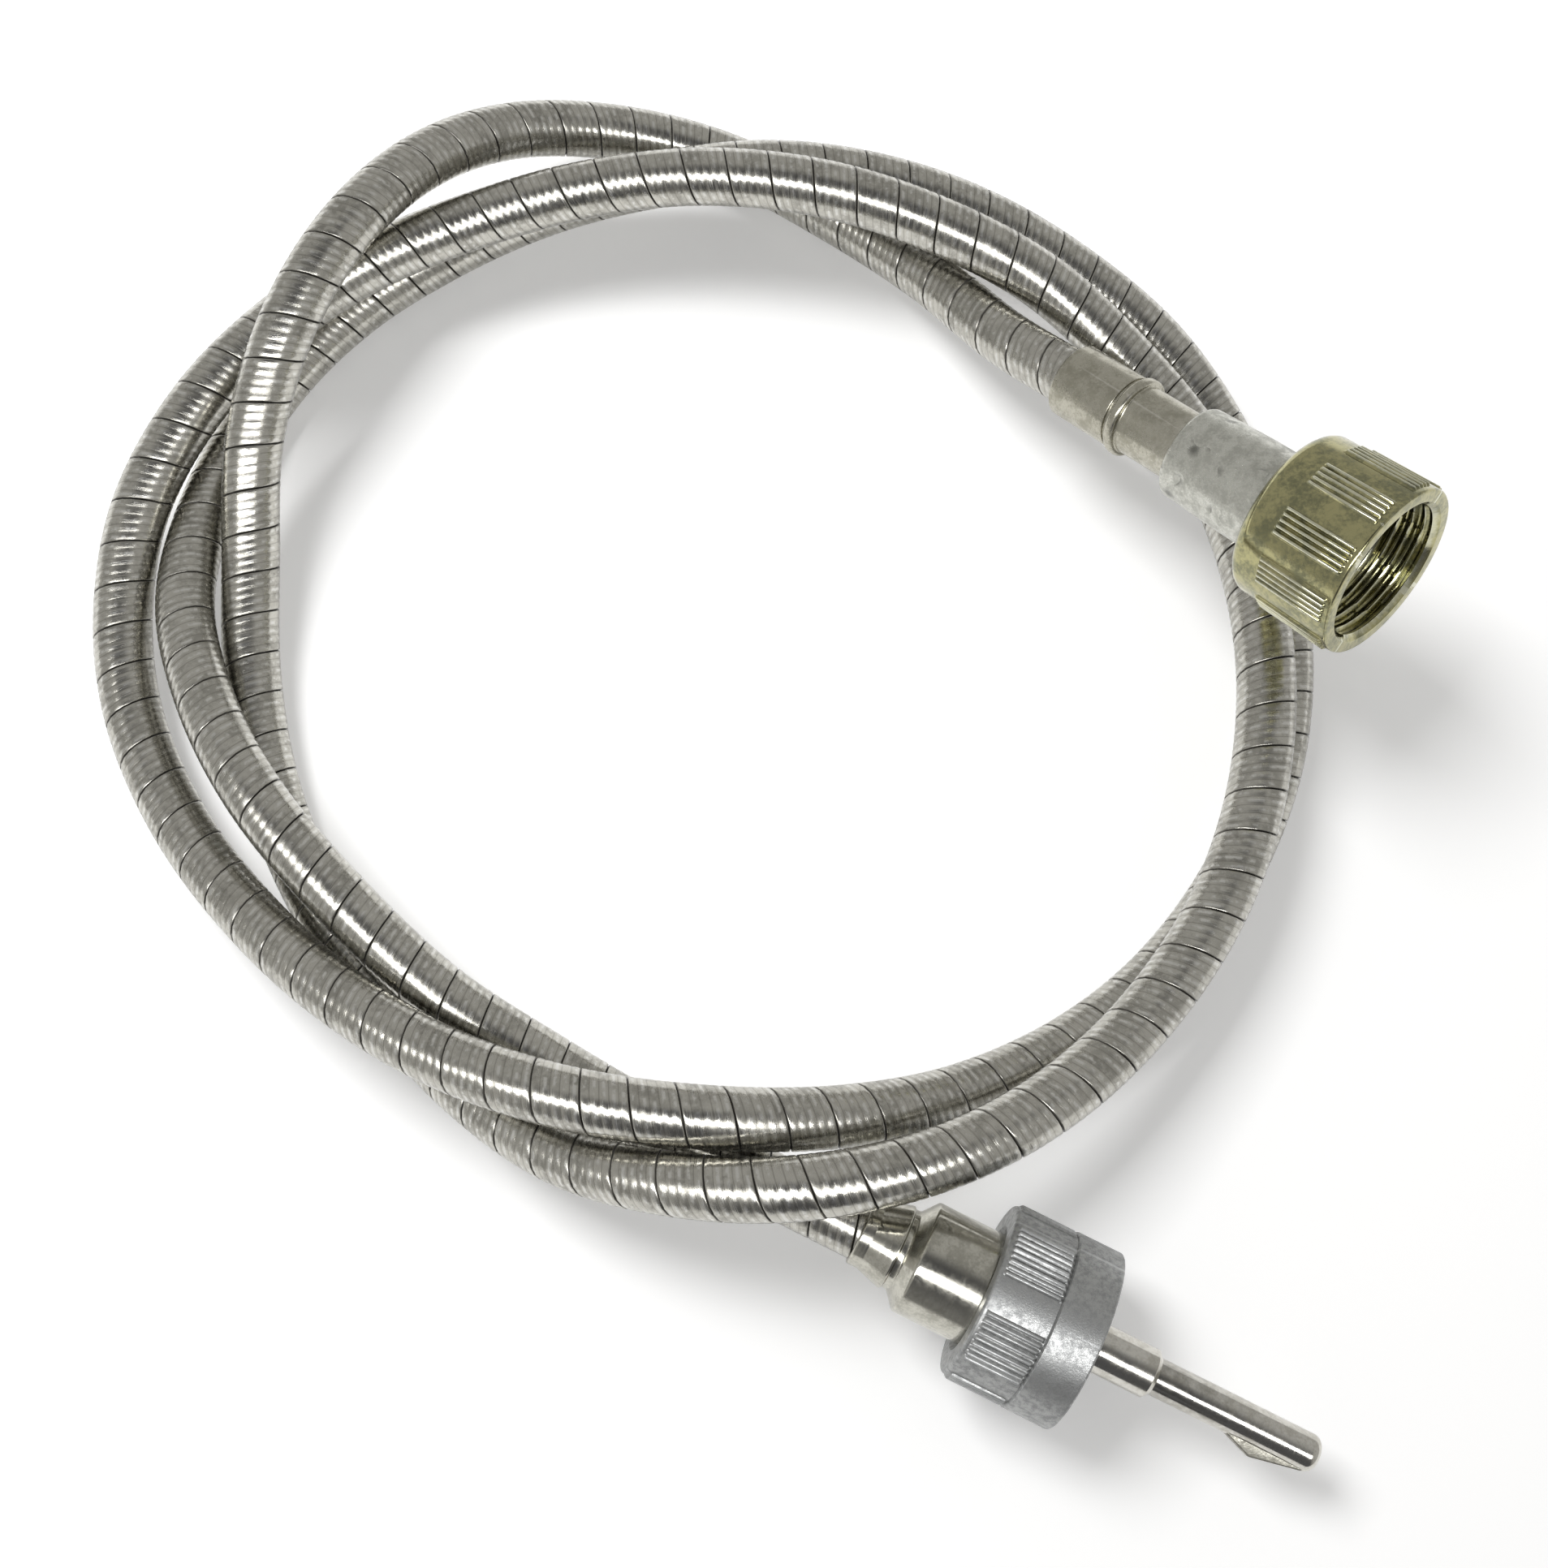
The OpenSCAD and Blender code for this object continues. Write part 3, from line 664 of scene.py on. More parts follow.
def keep(
    mesh: bmesh.types.BMesh, name: str, material: bpy.types.Material, sharp: float = 34.0
) -> bpy.types.Object:
    """Turns a finished bmesh into a shaded object at the origin.

    Args:
        mesh: The mesh, already in its place; it is freed.
        name: The piece's name.
        material: Its material.
        sharp: The angle, in degrees, past which an edge stays sharp.

    Returns:
        The object.
    """
    data = bpy.data.meshes.new(name)
    mesh.to_mesh(data)
    mesh.free()
    data.polygons.foreach_set("use_smooth", [True] * len(data.polygons))
    data.set_sharp_from_angle(angle=math.radians(sharp))
    data.materials.append(material)
    piece = bpy.data.objects.new(name, data)
    bpy.context.scene.collection.objects.link(piece)
    return piece


def dress(piece: bpy.types.Object, body: Body, slot: Slot, *nodes: str) -> bpy.types.Object:
    """Lets a piece ride on a body and stand for nodes of the frame."""
    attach(piece, body.value)
    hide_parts(*nodes)
    triangles = sum(len(face.vertices) - 2 for face in piece.data.polygons)
    LOG.info("%s: %d triangles, rides on %s", piece.name, triangles, body.value)
    return piece


def turned_piece(
    axis: FittingAxis, corners: list[Corner], name: str, finish: Finish, slot: Slot, node: str
) -> bpy.types.Object:
    """Turns a piece that stays with the casing.

    Args:
        axis: The axis that it is turned on.
        corners: The corners of its outline.
        name: Its name.
        finish: Its finish.
        slot: The record's slot for its material; not used.
        node: The node that it stands for.

    Returns:
        The object.
    """
    mesh = lathe(rounded(corners), TURNED_STEPS)
    mesh.transform(axis.matrix())
    return dress(keep(mesh, name, finish.material(axis)), Body.CASING, slot, node)


# ---------------------------------------------------------------- the casing


@dataclass
class WoundCasing:
    """The casing: five wires side by side, wound with an open seam between the turns."""

    LAY = "winding"

    radius: float = 3.5 * MM
    wall: float = 0.95 * MM
    pitch: float = 5.3 * MM
    wires: int = 5
    wire_section: tuple[tuple[float, float], ...] = ((0.0, 1.0), (0.2, 0.28), (0.5, 0.0), (0.8, 0.28))
    crown_height: float = 0.045 * MM
    seam_depth: float = 0.36 * MM
    seam_lip: float = 0.09 * MM
    steps_per_turn: int = 20
    bore_steps: int = 150
    weld: float = 2e-6
    cut_reach: float = 1e-8
    samples_per_span: int = 12
    seat_instrument: float = 8.1 * MM
    seat_drive: float = 8.5 * MM
    straight_lead: float = 12 * MM
    lowest: float = 3.5 * MM
    route: list[tuple[float, float, float]] = field(
        default_factory=lambda: [
            (0.0235, 0.0605, 0.0065), (0.012, 0.0705, 0.004), (-0.0015, 0.0785, 0.004),
            (-0.0155, 0.0815, 0.006), (-0.029, 0.079, 0.0105), (-0.0395, 0.0715, 0.0155),
            (-0.048, 0.06, 0.019), (-0.055, 0.0475, 0.0175), (-0.0595, 0.0345, 0.0125),
            (-0.0605, 0.021, 0.007), (-0.06, 0.006, 0.004), (-0.0565, -0.0085, 0.0035),
            (-0.05, -0.022, 0.0035), (-0.041, -0.034, 0.0035), (-0.031, -0.044, 0.006),
            (-0.0195, -0.0515, 0.011), (-0.0065, -0.055, 0.0165), (0.007, -0.0555, 0.0195),
            (0.0215, -0.0525, 0.0185), (0.0345, -0.046, 0.0155), (0.046, -0.036, 0.0125),
            (0.055, -0.0235, 0.0115), (0.0605, -0.0095, 0.011), (0.0625, 0.0055, 0.011),
            (0.061, 0.0205, 0.0105), (0.056, 0.0345, 0.0105), (0.0475, 0.0465, 0.011),
            (0.037, 0.056, 0.013), (0.024, 0.0625, 0.015), (0.01, 0.0665, 0.0165),
            (-0.005, 0.0685, 0.016), (-0.0195, 0.068, 0.014), (-0.0335, 0.065, 0.012),
            (-0.047, 0.059, 0.0115), (-0.0585, 0.0505, 0.011), (-0.0675, 0.04, 0.0105),
            (-0.074, 0.0275, 0.0085), (-0.076, 0.0145, 0.006), (-0.074, 0.0015, 0.0045),
            (-0.0675, -0.0115, 0.005), (-0.058, -0.023, 0.0075), (-0.0465, -0.033, 0.011),
            (-0.033, -0.041, 0.0145), (-0.018, -0.046, 0.0175), (-0.0025, -0.048, 0.0175),
            (0.012, -0.0475, 0.0135), (0.0255, -0.0445, 0.008), (0.0385, -0.0385, 0.0045),
            (0.0495, -0.03, 0.0035), (0.0585, -0.0185, 0.0035), (0.0645, -0.005, 0.004),
            (0.067, 0.0095, 0.0035), (0.066, 0.0245, 0.0035), (0.0615, 0.0385, 0.0035),
            (0.054, 0.051, 0.0045), (0.0435, 0.0605, 0.006), (0.031, 0.067, 0.009),
            (0.0175, 0.071, 0.011), (0.0035, 0.073, 0.011), (-0.011, 0.073, 0.0085),
            (-0.0255, 0.0705, 0.006), (-0.039, 0.065, 0.004), (-0.051, 0.0565, 0.0035),
            (-0.0605, 0.045, 0.0035), (-0.0665, 0.031, 0.0045), (-0.068, 0.016, 0.0075),
            (-0.064, 0.0025, 0.01), (-0.0565, -0.0105, 0.0115), (-0.046, -0.0225, 0.0105),
            (-0.0345, -0.033, 0.009), (-0.022, -0.041, 0.0085), (-0.009, -0.0485, 0.0095),
        ]
    )

    def centreline(self) -> np.ndarray:
        """Draws one smooth curve through the route, straight in both fittings.

        Returns:
            Points along the curve, close together.
        """
        start = [INSTRUMENT_AXIS.at(length) for length in (self.seat_instrument, 0, -self.straight_lead)]
        end = [DRIVE_AXIS.at(length) for length in (-self.straight_lead, 0, self.seat_drive)]
        stations = np.array([*start, *self.route, *end], dtype=float)
        padded = np.vstack([2 * stations[0] - stations[1], stations, 2 * stations[-1] - stations[-2]])
        share = np.linspace(0, 1, self.samples_per_span, endpoint=False)[:, None]
        spans = []
        for a, b, c, d in zip(padded, padded[1:], padded[2:], padded[3:]):
            square = (2 * a - 5 * b + 4 * c - d) * share**2
            cube = (3 * b - a - 3 * c + d) * share**3
            spans.append((2 * b + (c - a) * share + square + cube) / 2)
        line = np.vstack([*spans, stations[-1:]])
        line[:, 2] = np.maximum(line[:, 2], self.lowest)
        return line

    @staticmethod
    def length_of(line: np.ndarray) -> float:
        """Measures a line of points."""
        return float(np.linalg.norm(np.diff(line, axis=0), axis=1).sum())

    def one_pitch(self, pitch: float) -> Outline:
        """Draws the wires of one turn, from the seam to the next seam.

        Args:
            pitch: The distance from seam to seam.

        Returns:
            Points, each its place along the casing and its radius.
        """
        width = pitch / self.wires
        outline = [
            ((wire + across) * width, self.radius - depth * self.crown_height)
            for wire in range(self.wires)
            for across, depth in self.wire_section
        ]
        seam = self.radius - self.seam_depth
        lip = self.radius - self.crown_height
        rear = [(0.0, seam), (self.seam_lip, lip)]
        front = [(pitch - self.seam_lip, lip), (pitch, seam)]
        return [*rear, *outline[1:], *front]

    def winding(self, length: float) -> bmesh.types.BMesh:
        """Winds the wires straight along Z, and closes both ends and the bore.

        Args:
            length: The casing's length.

        Returns:
            The closed mesh.
        """
        turns = round(length / self.pitch)
        pitch = length / turns
        mesh = bmesh.new()
        ring = [mesh.verts.new((radius, 0.0, along - pitch)) for along, radius in self.one_pitch(pitch)]
        edges = [mesh.edges.new(pair) for pair in zip(ring, ring[1:])]
        bmesh.ops.spin(
            mesh, geom=ring + edges, cent=(0, 0, 0), axis=UP, dvec=(0, 0, pitch / self.steps_per_turn),
            angle=math.tau, steps=self.steps_per_turn,
        )
        for doubling in range(math.ceil(math.log2(turns + 2))):
            turned = bmesh.ops.duplicate(mesh, geom=mesh.verts[:] + mesh.edges[:] + mesh.faces[:])["geom"]
            copies = [part for part in turned if isinstance(part, bmesh.types.BMVert)]
            bmesh.ops.translate(mesh, verts=copies, vec=(0, 0, pitch * 2**doubling))
        bmesh.ops.remove_doubles(mesh, verts=mesh.verts, dist=self.weld)
        for level, outward in ((0.0, -1), (length, 1)):
            geometry = mesh.verts[:] + mesh.edges[:] + mesh.faces[:]
            bmesh.ops.bisect_plane(
                mesh, geom=geometry, dist=self.cut_reach, plane_co=(0, 0, level),
                plane_no=(0, 0, outward), clear_outer=True,
            )
        self._line_bore(mesh, length)
        bmesh.ops.recalc_face_normals(mesh, faces=mesh.faces)
        return mesh

    def _line_bore(self, mesh: bmesh.types.BMesh, length: float) -> None:
        """Adds the bore and joins it to the winding by a rim at each end."""
        spacing = length / self.bore_steps
        bore = [mesh.verts.new((self.radius - self.wall, 0.0, along)) for along in levels(0, length, spacing)]
        edges = [mesh.edges.new(pair) for pair in zip(bore, bore[1:])]
        bmesh.ops.spin(
            mesh, geom=bore + edges, cent=(0, 0, 0), axis=UP, angle=math.tau,
            steps=self.steps_per_turn, use_merge=True,
        )
        for level in (0.0, length):
            rims = [
                edge for edge in mesh.edges
                if edge.is_boundary and all(abs(vert.co.z - level) < self.wall / 4 for vert in edge.verts)
            ]
            bmesh.ops.bridge_loops(mesh, edges=rims)

    def bend(self, data: bpy.types.Mesh, line: np.ndarray) -> None:
        """Moves a straight mesh onto the centreline, without twisting it.

        Args:
            data: The mesh, straight along Z.
            line: The centreline's points.
        """
        places = np.empty(len(data.vertices) * 3)
        data.vertices.foreach_get("co", places)
        x, y, along = places.reshape(-1, 3).T
        steps = np.linalg.norm(np.diff(line, axis=0), axis=1)
        travelled = np.concatenate([[0.0], np.cumsum(steps)])
        ahead = np.gradient(line, travelled, axis=0)
        ahead /= np.linalg.norm(ahead, axis=1)[:, None]
        left = np.cross(np.array(UP), ahead)
        left /= np.linalg.norm(left, axis=1)[:, None]
        over = np.cross(ahead, left)
        middle, to_left, to_over = (
            np.stack([np.interp(along, travelled, part[:, k]) for k in range(3)], axis=1)
            for part in (line, left, over)
        )
        bent = middle + to_left * x[:, None] + to_over * y[:, None]
        data.vertices.foreach_set("co", bent.ravel())
        data.update()

    def lay_map(self, data: bpy.types.Mesh, pitch: float) -> None:
        """Gives the straight mesh a map that follows the wires: turns along, share across.

        Args:
            data: The mesh, still straight along Z.
            pitch: The distance from seam to seam.
        """
        places = np.empty(len(data.vertices) * 3)
        data.vertices.foreach_get("co", places)
        places = places.reshape(-1, 3)
        of_loop = np.empty(len(data.loops), dtype=int)
        data.loops.foreach_get("vertex_index", of_loop)
        starts = np.empty(len(data.polygons), dtype=int)
        data.polygons.foreach_get("loop_start", starts)
        counts = np.diff(np.append(starts, len(data.loops)))
        corners = places[of_loop]
        middles = np.add.reduceat(corners, starts, axis=0) / counts[:, None]
        middles = np.repeat(middles, counts, axis=0)
        about = np.arctan2(middles[:, 1], middles[:, 0])
        off = np.arctan2(corners[:, 1], corners[:, 0]) - about
        angle = about + (off + math.pi) % math.tau - math.pi
        share = corners[:, 2] / pitch - angle / math.tau
        turn = np.floor(middles[:, 2] / pitch - about / math.tau)
        layer = data.uv_layers.new(name=self.LAY)
        layer.data.foreach_set("uv", np.stack([turn + angle / math.tau, share - turn], axis=1).ravel())

    def build(self) -> tuple[bpy.types.Object, np.ndarray]:
        """Builds the casing in its place.

        Returns:
            The piece and its centreline.
        """
        line = self.centreline()
        length = self.length_of(line)
        piece = keep(self.winding(length), "wound_casing", WindingFinish(self.wires).material(), sharp=60.0)
        self.lay_map(piece.data, length / round(length / self.pitch))
        self.bend(piece.data, line)
        dress(piece, Body.CASING, Slot.CASING, "casing_armour")
        return piece, line


# ---------------------------------------------------------------- the nuts


@dataclass
class Knurl:
    """Patches of straight ribs round a nut."""

    patches: int
    ribs: int
    start: float
    end: float
    rib_pitch: float = 0.72 * MM
    rib_width: float = 0.56 * MM
    rib_height: float = 0.35 * MM
    run_out: float = 0.3 * MM
    fullness: float = 0.7
    turn: float = 0.0

    def height(self, angle: float, along: float, radius: float) -> float:
        """Gives how far the surface stands out at one place.

        Args:
            angle: The angle round the nut.
            along: The place along the nut.
            radius: The nut's radius there.

        Returns:
            The rise above the body.
        """
        if not self.start < along < self.end:
            return 0.0
        patch = math.tau / self.patches
        off = (angle - math.radians(self.turn) + patch / 2) % patch - patch / 2
        across = off * radius
        outermost = (self.ribs - 1) / 2
        rib = round(across / self.rib_pitch - outermost) + outermost
        if abs(rib) > outermost + 0.5:
            return 0.0
        from_rib = abs(across - rib * self.rib_pitch) / (self.rib_width / 2)
        ends = min(1.0, (along - self.start) / self.run_out, (self.end - along) / self.run_out)
        section = max(0.0, math.cos(min(1.0, from_rib) * math.pi / 2)) ** self.fullness
        return self.rib_height * ends * section


@dataclass
class InnerThread:
    """A right-handed inner thread cut into a bore."""

    start: float
    end: float
    minor: float = 8.19 * MM
    pitch: float = 1.5 * MM
    depth: float = 0.76 * MM
    flank: float = 2.5
    run_in: float = 0.75 * MM
    points_per_turn: int = 9

    def depth_at(self, angle: float, along: float) -> float:
        """Gives how deep the thread is cut at one place."""
        phase = (along / self.pitch - angle / math.tau) % 1.0
        cut = min(1.0, max(0.0, self.flank * (0.5 - abs(phase - 0.5))))
        ends = min(1.0, (along - self.start) / self.run_in, (self.end - along) / self.run_in)
        return self.depth * cut * max(0.0, ends)


@dataclass
class CouplingNut:
    """A knurled coupling nut, turned from its outline and then knurled and threaded."""

    name: str
    node: str
    body: Body
    slot: Slot
    finish: Finish
    axis: FittingAxis
    knurl: Knurl
    thread: InnerThread
    rear_radius: float
    front_radius: float
    rear_bore: float
    wall: float
    rear_rounding: float
    front_rounding: float
    rear_chamfer: float
    band_rise: float = 0.0
    band_edge: float = 0.08 * MM
    relief: float = 8.6 * MM
    mouth_chamfer: float = 0.6 * MM
    skin: float = 0.3 * MM
    steps: int = 720

    def outline(self, length: float) -> Outline:
        """Draws the nut's section, from the rear of its bore round its outside to its mouth.

        Args:
            length: The nut's length.

        Returns:
            The closed outline, from the nut's rear face.
        """
        slope = (self.front_radius - self.rear_radius) / length
        start, end, run_out = self.knurl.start, self.knurl.end, self.knurl.run_out
        near = run_out / 8
        knurled = [
            Corner(along, self.rear_radius + slope * along)
            for along in (
                start - near, start, start + run_out / 2, start + run_out,
                end - run_out, end - run_out / 2, end, end + near,
            )
        ]
        band = self.front_radius + self.band_rise
        if self.band_rise:
            knurled.append(Corner(end + 3 * self.band_edge, band, self.band_edge))
        point_gap = self.thread.pitch / self.thread.points_per_turn
        threaded = [
            Corner(along, self.thread.minor)
            for along in levels(self.thread.end, self.thread.start, point_gap)
        ]
        mouth = self.thread.minor + self.mouth_chamfer
        return rounded([
            Corner(self.rear_chamfer, self.rear_bore),
            Corner(0, self.rear_bore + self.rear_chamfer, Edge.FINE),
            Corner(0, self.rear_radius, self.rear_rounding),
            *knurled,
            Corner(length, band, self.front_rounding),
            Corner(length, mouth, Edge.KEEN),
            *threaded,
            Corner(self.thread.start, self.relief),
            Corner(self.wall, self.relief, Edge.SOFT),
            Corner(self.wall, self.rear_bore),
        ])

    def build(self) -> bpy.types.Object:
        """Builds the nut on its axis."""
        start, end, _ = self.axis.span(self.node)
        mesh = lathe(self.outline(end - start), self.steps)
        outside = self.rear_radius - self.skin
        for vert in mesh.verts:
            angle = math.atan2(vert.co.y, vert.co.x)
            radius = vert.co.xy.length
            along = vert.co.z
            rise = self.knurl.height(angle, along, radius) if radius > outside else 0.0
            if abs(radius - self.thread.minor) < TOUCHING:
                rise = self.thread.depth_at(angle, along)
            vert.co.xy *= (radius + rise) / radius
        mesh.transform(self.axis.matrix() @ Matrix.Translation((0, 0, start)))
        piece = keep(mesh, self.name, self.finish.material(self.axis), sharp=50.0)
        return dress(piece, self.body, self.slot, self.node)


# ---------------------------------------------------------------- the end fittings


@dataclass
class BearingChamber:
    """The bore that holds the bearing set, with its snap ring's groove, as corners from the mouth in."""

    radius: float = 4.6 * MM
    groove_radius: float = 5.08 * MM
    way: float = 2.1 * MM
    groove_from_mouth: tuple[float, float] = (0.9 * MM, 1.9 * MM)
    depth: float = 13.0 * MM

    def corners(self, face: float) -> list[Corner]:
        """Lists the chamber's corners.

        Args:
            face: The place of the face that the chamber opens in.

        Returns:
            The corners, from the face to the chamber's floor.
        """
        lip, groove_end = (face - back for back in self.groove_from_mouth)
        floor = face - self.depth
        return [
            Corner(face, self.radius, Edge.MILD),
            Corner(lip, self.radius),
            Corner(lip, self.groove_radius),
            Corner(groove_end, self.groove_radius),
            Corner(groove_end, self.radius),
            Corner(floor, self.radius),
            Corner(floor, self.way),
        ]


@dataclass
class InstrumentFitting:
    """The instrument end: crimped ferrule, cast spigot and gold coupling nut."""

    axis: FittingAxis = INSTRUMENT_AXIS
    seat_radius: float = 3.53 * MM
    seat_depth: float = 8.2 * MM
    way: float = 2.1 * MM
    grip: tuple[float, float] = (8.7 * MM, 4.55 * MM)
    grip_rounding: float = 0.35 * MM
    groove: tuple[float, float] = (9.2 * MM, 4.25 * MM)
    bead: tuple[float, float] = (10.5 * MM, 4.95 * MM)
    neck: tuple[float, float] = (18.5 * MM, 4.25 * MM)
    shank_radius: float = 3.4 * MM
    spigot_rear: float = 5.7 * MM
    spigot_radius: float = 6.0 * MM
    spigot_rounding: float = 0.7 * MM
    spigot_taper: float = 8.4 * MM
    taper_blend: float = 2.0 * MM
    flange_radius: float = 7.9 * MM
    flange_thickness: float = 3.0 * MM
    flange_fillet: float = 0.25 * MM
    shank_seat: float = 3.43 * MM
    shank_gap: float = 0.1 * MM
    chamber: BearingChamber = field(default_factory=BearingChamber)

    def ferrule(self) -> bpy.types.Object:
        """Turns the ferrule that grips the casing."""
        start, end, _ = self.axis.span("instrument_ferrule")
        corners = [
            Corner(start, self.seat_radius, Edge.FINE),
            Corner(start, self.grip[1], self.grip_rounding),
            Corner(self.grip[0], self.grip[1], Edge.FINE),
            Corner(self.grip[0], self.groove[1], Edge.CRISP),
            Corner(self.groove[0], self.groove[1], Edge.CRISP),
            Corner(self.groove[0], self.bead[1], Edge.FULL),
            Corner(self.bead[0], self.bead[1], Edge.FULL),
            Corner(self.bead[0], self.neck[1], Edge.SOFT),
            Corner(self.neck[0], self.neck[1]),
            Corner(self.neck[0], self.shank_radius),
            Corner(end, self.shank_radius, Edge.EASED),
            Corner(end, self.way),
            Corner(self.seat_depth, self.way),
            Corner(self.seat_depth, self.seat_radius),
        ]
        return turned_piece(
            self.axis, corners, "crimped_ferrule", GRIP_STEEL, Slot.FERRULE, "instrument_ferrule"
        )

    def spigot(self) -> bpy.types.Object:
        """Turns the cast spigot with its flange and bearing chamber."""
        start, end, _ = self.axis.span("instrument_spigot")
        seat_end = self.axis.span("instrument_ferrule")[1] + self.shank_gap
        flange_rear = end - self.flange_thickness
        corners = [
            Corner(start, self.shank_seat),
            Corner(start, self.spigot_rear, self.spigot_rounding),
            Corner(start + self.spigot_taper, self.spigot_radius, self.taper_blend),
            Corner(flange_rear, self.spigot_radius, self.flange_fillet),
            Corner(flange_rear, self.flange_radius, Edge.EASED),
            Corner(end, self.flange_radius, Edge.EASED),
            *self.chamber.corners(end),
            Corner(seat_end, self.way),
            Corner(seat_end, self.shank_seat),
        ]
        return turned_piece(
            self.axis, corners, "cast_spigot", SPIGOT_ZINC, Slot.SPIGOT, "instrument_spigot"
        )

    def nut(self) -> bpy.types.Object:
        """Builds the gold nut."""
        return CouplingNut(
            name="gold_coupling_nut",
            node="instrument_nut",
            body=Body.INSTRUMENT_NUT,
            slot=Slot.GOLD_NUT,
            finish=GOLD_NUT,
            axis=self.axis,
            knurl=Knurl(patches=10, ribs=5, start=4.1 * MM, end=13.3 * MM),
            thread=InnerThread(start=7.9 * MM, end=13.4 * MM),
            rear_radius=10.0 * MM,
            front_radius=10.3 * MM,
            rear_bore=6.06 * MM,
            wall=2.8 * MM,
            rear_rounding=1.6 * MM,
            front_rounding=0.3 * MM,
            rear_chamfer=0.4 * MM,
        ).build()

    def build(self) -> list[bpy.types.Object]:
        """Builds the whole fitting."""
        return [self.ferrule(), self.spigot(), self.nut()]


@dataclass
class DriveFitting:
    """The drive end: bright sleeve, grey coupling nut and the stepped pin with its key."""

    axis: FittingAxis = DRIVE_AXIS
    seat_radius: float = 3.53 * MM
    way: float = 2.1 * MM
    lip: tuple[float, float] = (1.4 * MM, 4.0 * MM)
    cone: tuple[float, float] = (4.5 * MM, 4.9 * MM)
    waist: tuple[float, float] = (5.23 * MM, 4.6 * MM)
    waist_step: float = 0.1 * MM
    barrel_start: float = 6.7 * MM
    barrel_radius: float = 6.4 * MM
    barrel_rounding: float = 0.5 * MM
    flange_rear: float = 17.2 * MM
    flange_radius: float = 7.9 * MM
    flange_face: float = 20.2 * MM
    nose_radius: float = 6.0 * MM
    web: float = 1.8 * MM
    chamber: BearingChamber = field(default_factory=BearingChamber)
    stop: tuple[float, float] = (1.2 * MM, 3.9 * MM)
    tip_radius: float = 2.75 * MM
    collar_chamfer: float = 0.5 * MM
    collar_rounding: float = 0.05 * MM
    socket_radius: float = 1.66 * MM
    socket_depth: float = 7.0 * MM
    pin_radius: float = 2.1 * MM
    pin_length: float = 19.1 * MM
    pin_rounding: float = 1.2 * MM
    key_start: float = 9.2 * MM
    key_rise: float = 3.1 * MM
    key_height: float = 1.15 * MM
    key_width: float = 1.6 * MM
    key_taper: float = 0.5
    key_foot: float = 0.6
    key_easing: float = 0.18 * MM
    tip_segments: int = 8
    tip_steps: int = 128

    def sleeve(self) -> bpy.types.Object:
        """Turns the sleeve that holds the casing and the bearing set."""
        start, end, _ = self.axis.span("drive_ferrule")
        seat_end = end - self.chamber.depth - self.web
        corners = [
            Corner(start, self.seat_radius, Edge.FINE),
            Corner(start, self.lip[1], Edge.EASED),
            Corner(self.lip[0], self.lip[1], Edge.MILD),
            Corner(self.cone[0], self.cone[1], Edge.EASED),
            Corner(self.cone[0] + self.waist_step, self.waist[1], Edge.KEEN),
            Corner(self.waist[0], self.waist[1], Edge.EASED),
            Corner(self.barrel_start, self.barrel_radius, self.barrel_rounding),
            Corner(self.flange_rear, self.barrel_radius, Edge.SOFT),
            Corner(self.flange_rear, self.flange_radius, Edge.EASED),
            Corner(self.flange_face, self.flange_radius, Edge.EASED),
            Corner(self.flange_face, self.nose_radius),
            Corner(end, self.nose_radius, Edge.EASED),
            *self.chamber.corners(end),
            Corner(seat_end, self.way),
            Corner(seat_end, self.seat_radius),
        ]
        return turned_piece(
            self.axis, corners, "bright_sleeve", SLEEVE_NICKEL, Slot.SLEEVE, "drive_ferrule"
        )

    def nut(self) -> bpy.types.Object:
        """Builds the grey nut."""
        return CouplingNut(
            name="grey_coupling_nut",
            node="drive_nut",
            body=Body.DRIVE_NUT,
            slot=Slot.GREY_NUT,
            finish=GREY_NUT,
            axis=self.axis,
            knurl=Knurl(patches=6, ribs=9, start=0.5 * MM, end=7.2 * MM, turn=30.0),
            thread=InnerThread(start=7.1 * MM, end=12.1 * MM),
            rear_radius=9.8 * MM,
            front_radius=9.8 * MM,
            rear_bore=6.46 * MM,
            wall=2.0 * MM,
            rear_rounding=0.4 * MM,
            front_rounding=0.3 * MM,
            rear_chamfer=0.8 * MM,
            band_rise=0.4 * MM,
        ).build()

    def pin(self) -> bpy.types.Object:
        """Turns the drive tip and its pin, and sets the key on it."""
        start, end, _ = self.axis.span("drive_tip")
        collar_end = end - self.pin_length
        corners = [
            Corner(start + self.socket_depth, 0.0),
            Corner(start + self.socket_depth, self.socket_radius),
            Corner(start, self.socket_radius),
            Corner(start, self.stop[1], Edge.SOFT),
            Corner(start + self.stop[0], self.stop[1], Edge.SOFT),
            Corner(start + self.stop[0], self.tip_radius),
            Corner(collar_end - self.collar_chamfer, self.tip_radius, Edge.FINE),
            Corner(collar_end, self.tip_radius - self.collar_chamfer, self.collar_rounding),
            Corner(collar_end, self.pin_radius),
            Corner(end, self.pin_radius, self.pin_rounding),
            Corner(end, 0.0),
        ]
        mesh = lathe(rounded(corners, self.tip_segments), self.tip_steps)
        self._add_key(mesh, collar_end)
        mesh.transform(self.axis.matrix())
        piece = keep(mesh, "keyed_drive_pin", PIN_STEEL.material(self.axis))
        piece.data.materials.append(KEY_STEEL.material(self.axis))
        return dress(piece, Body.DRIVE_TIP, Slot.PIN, "drive_tip")

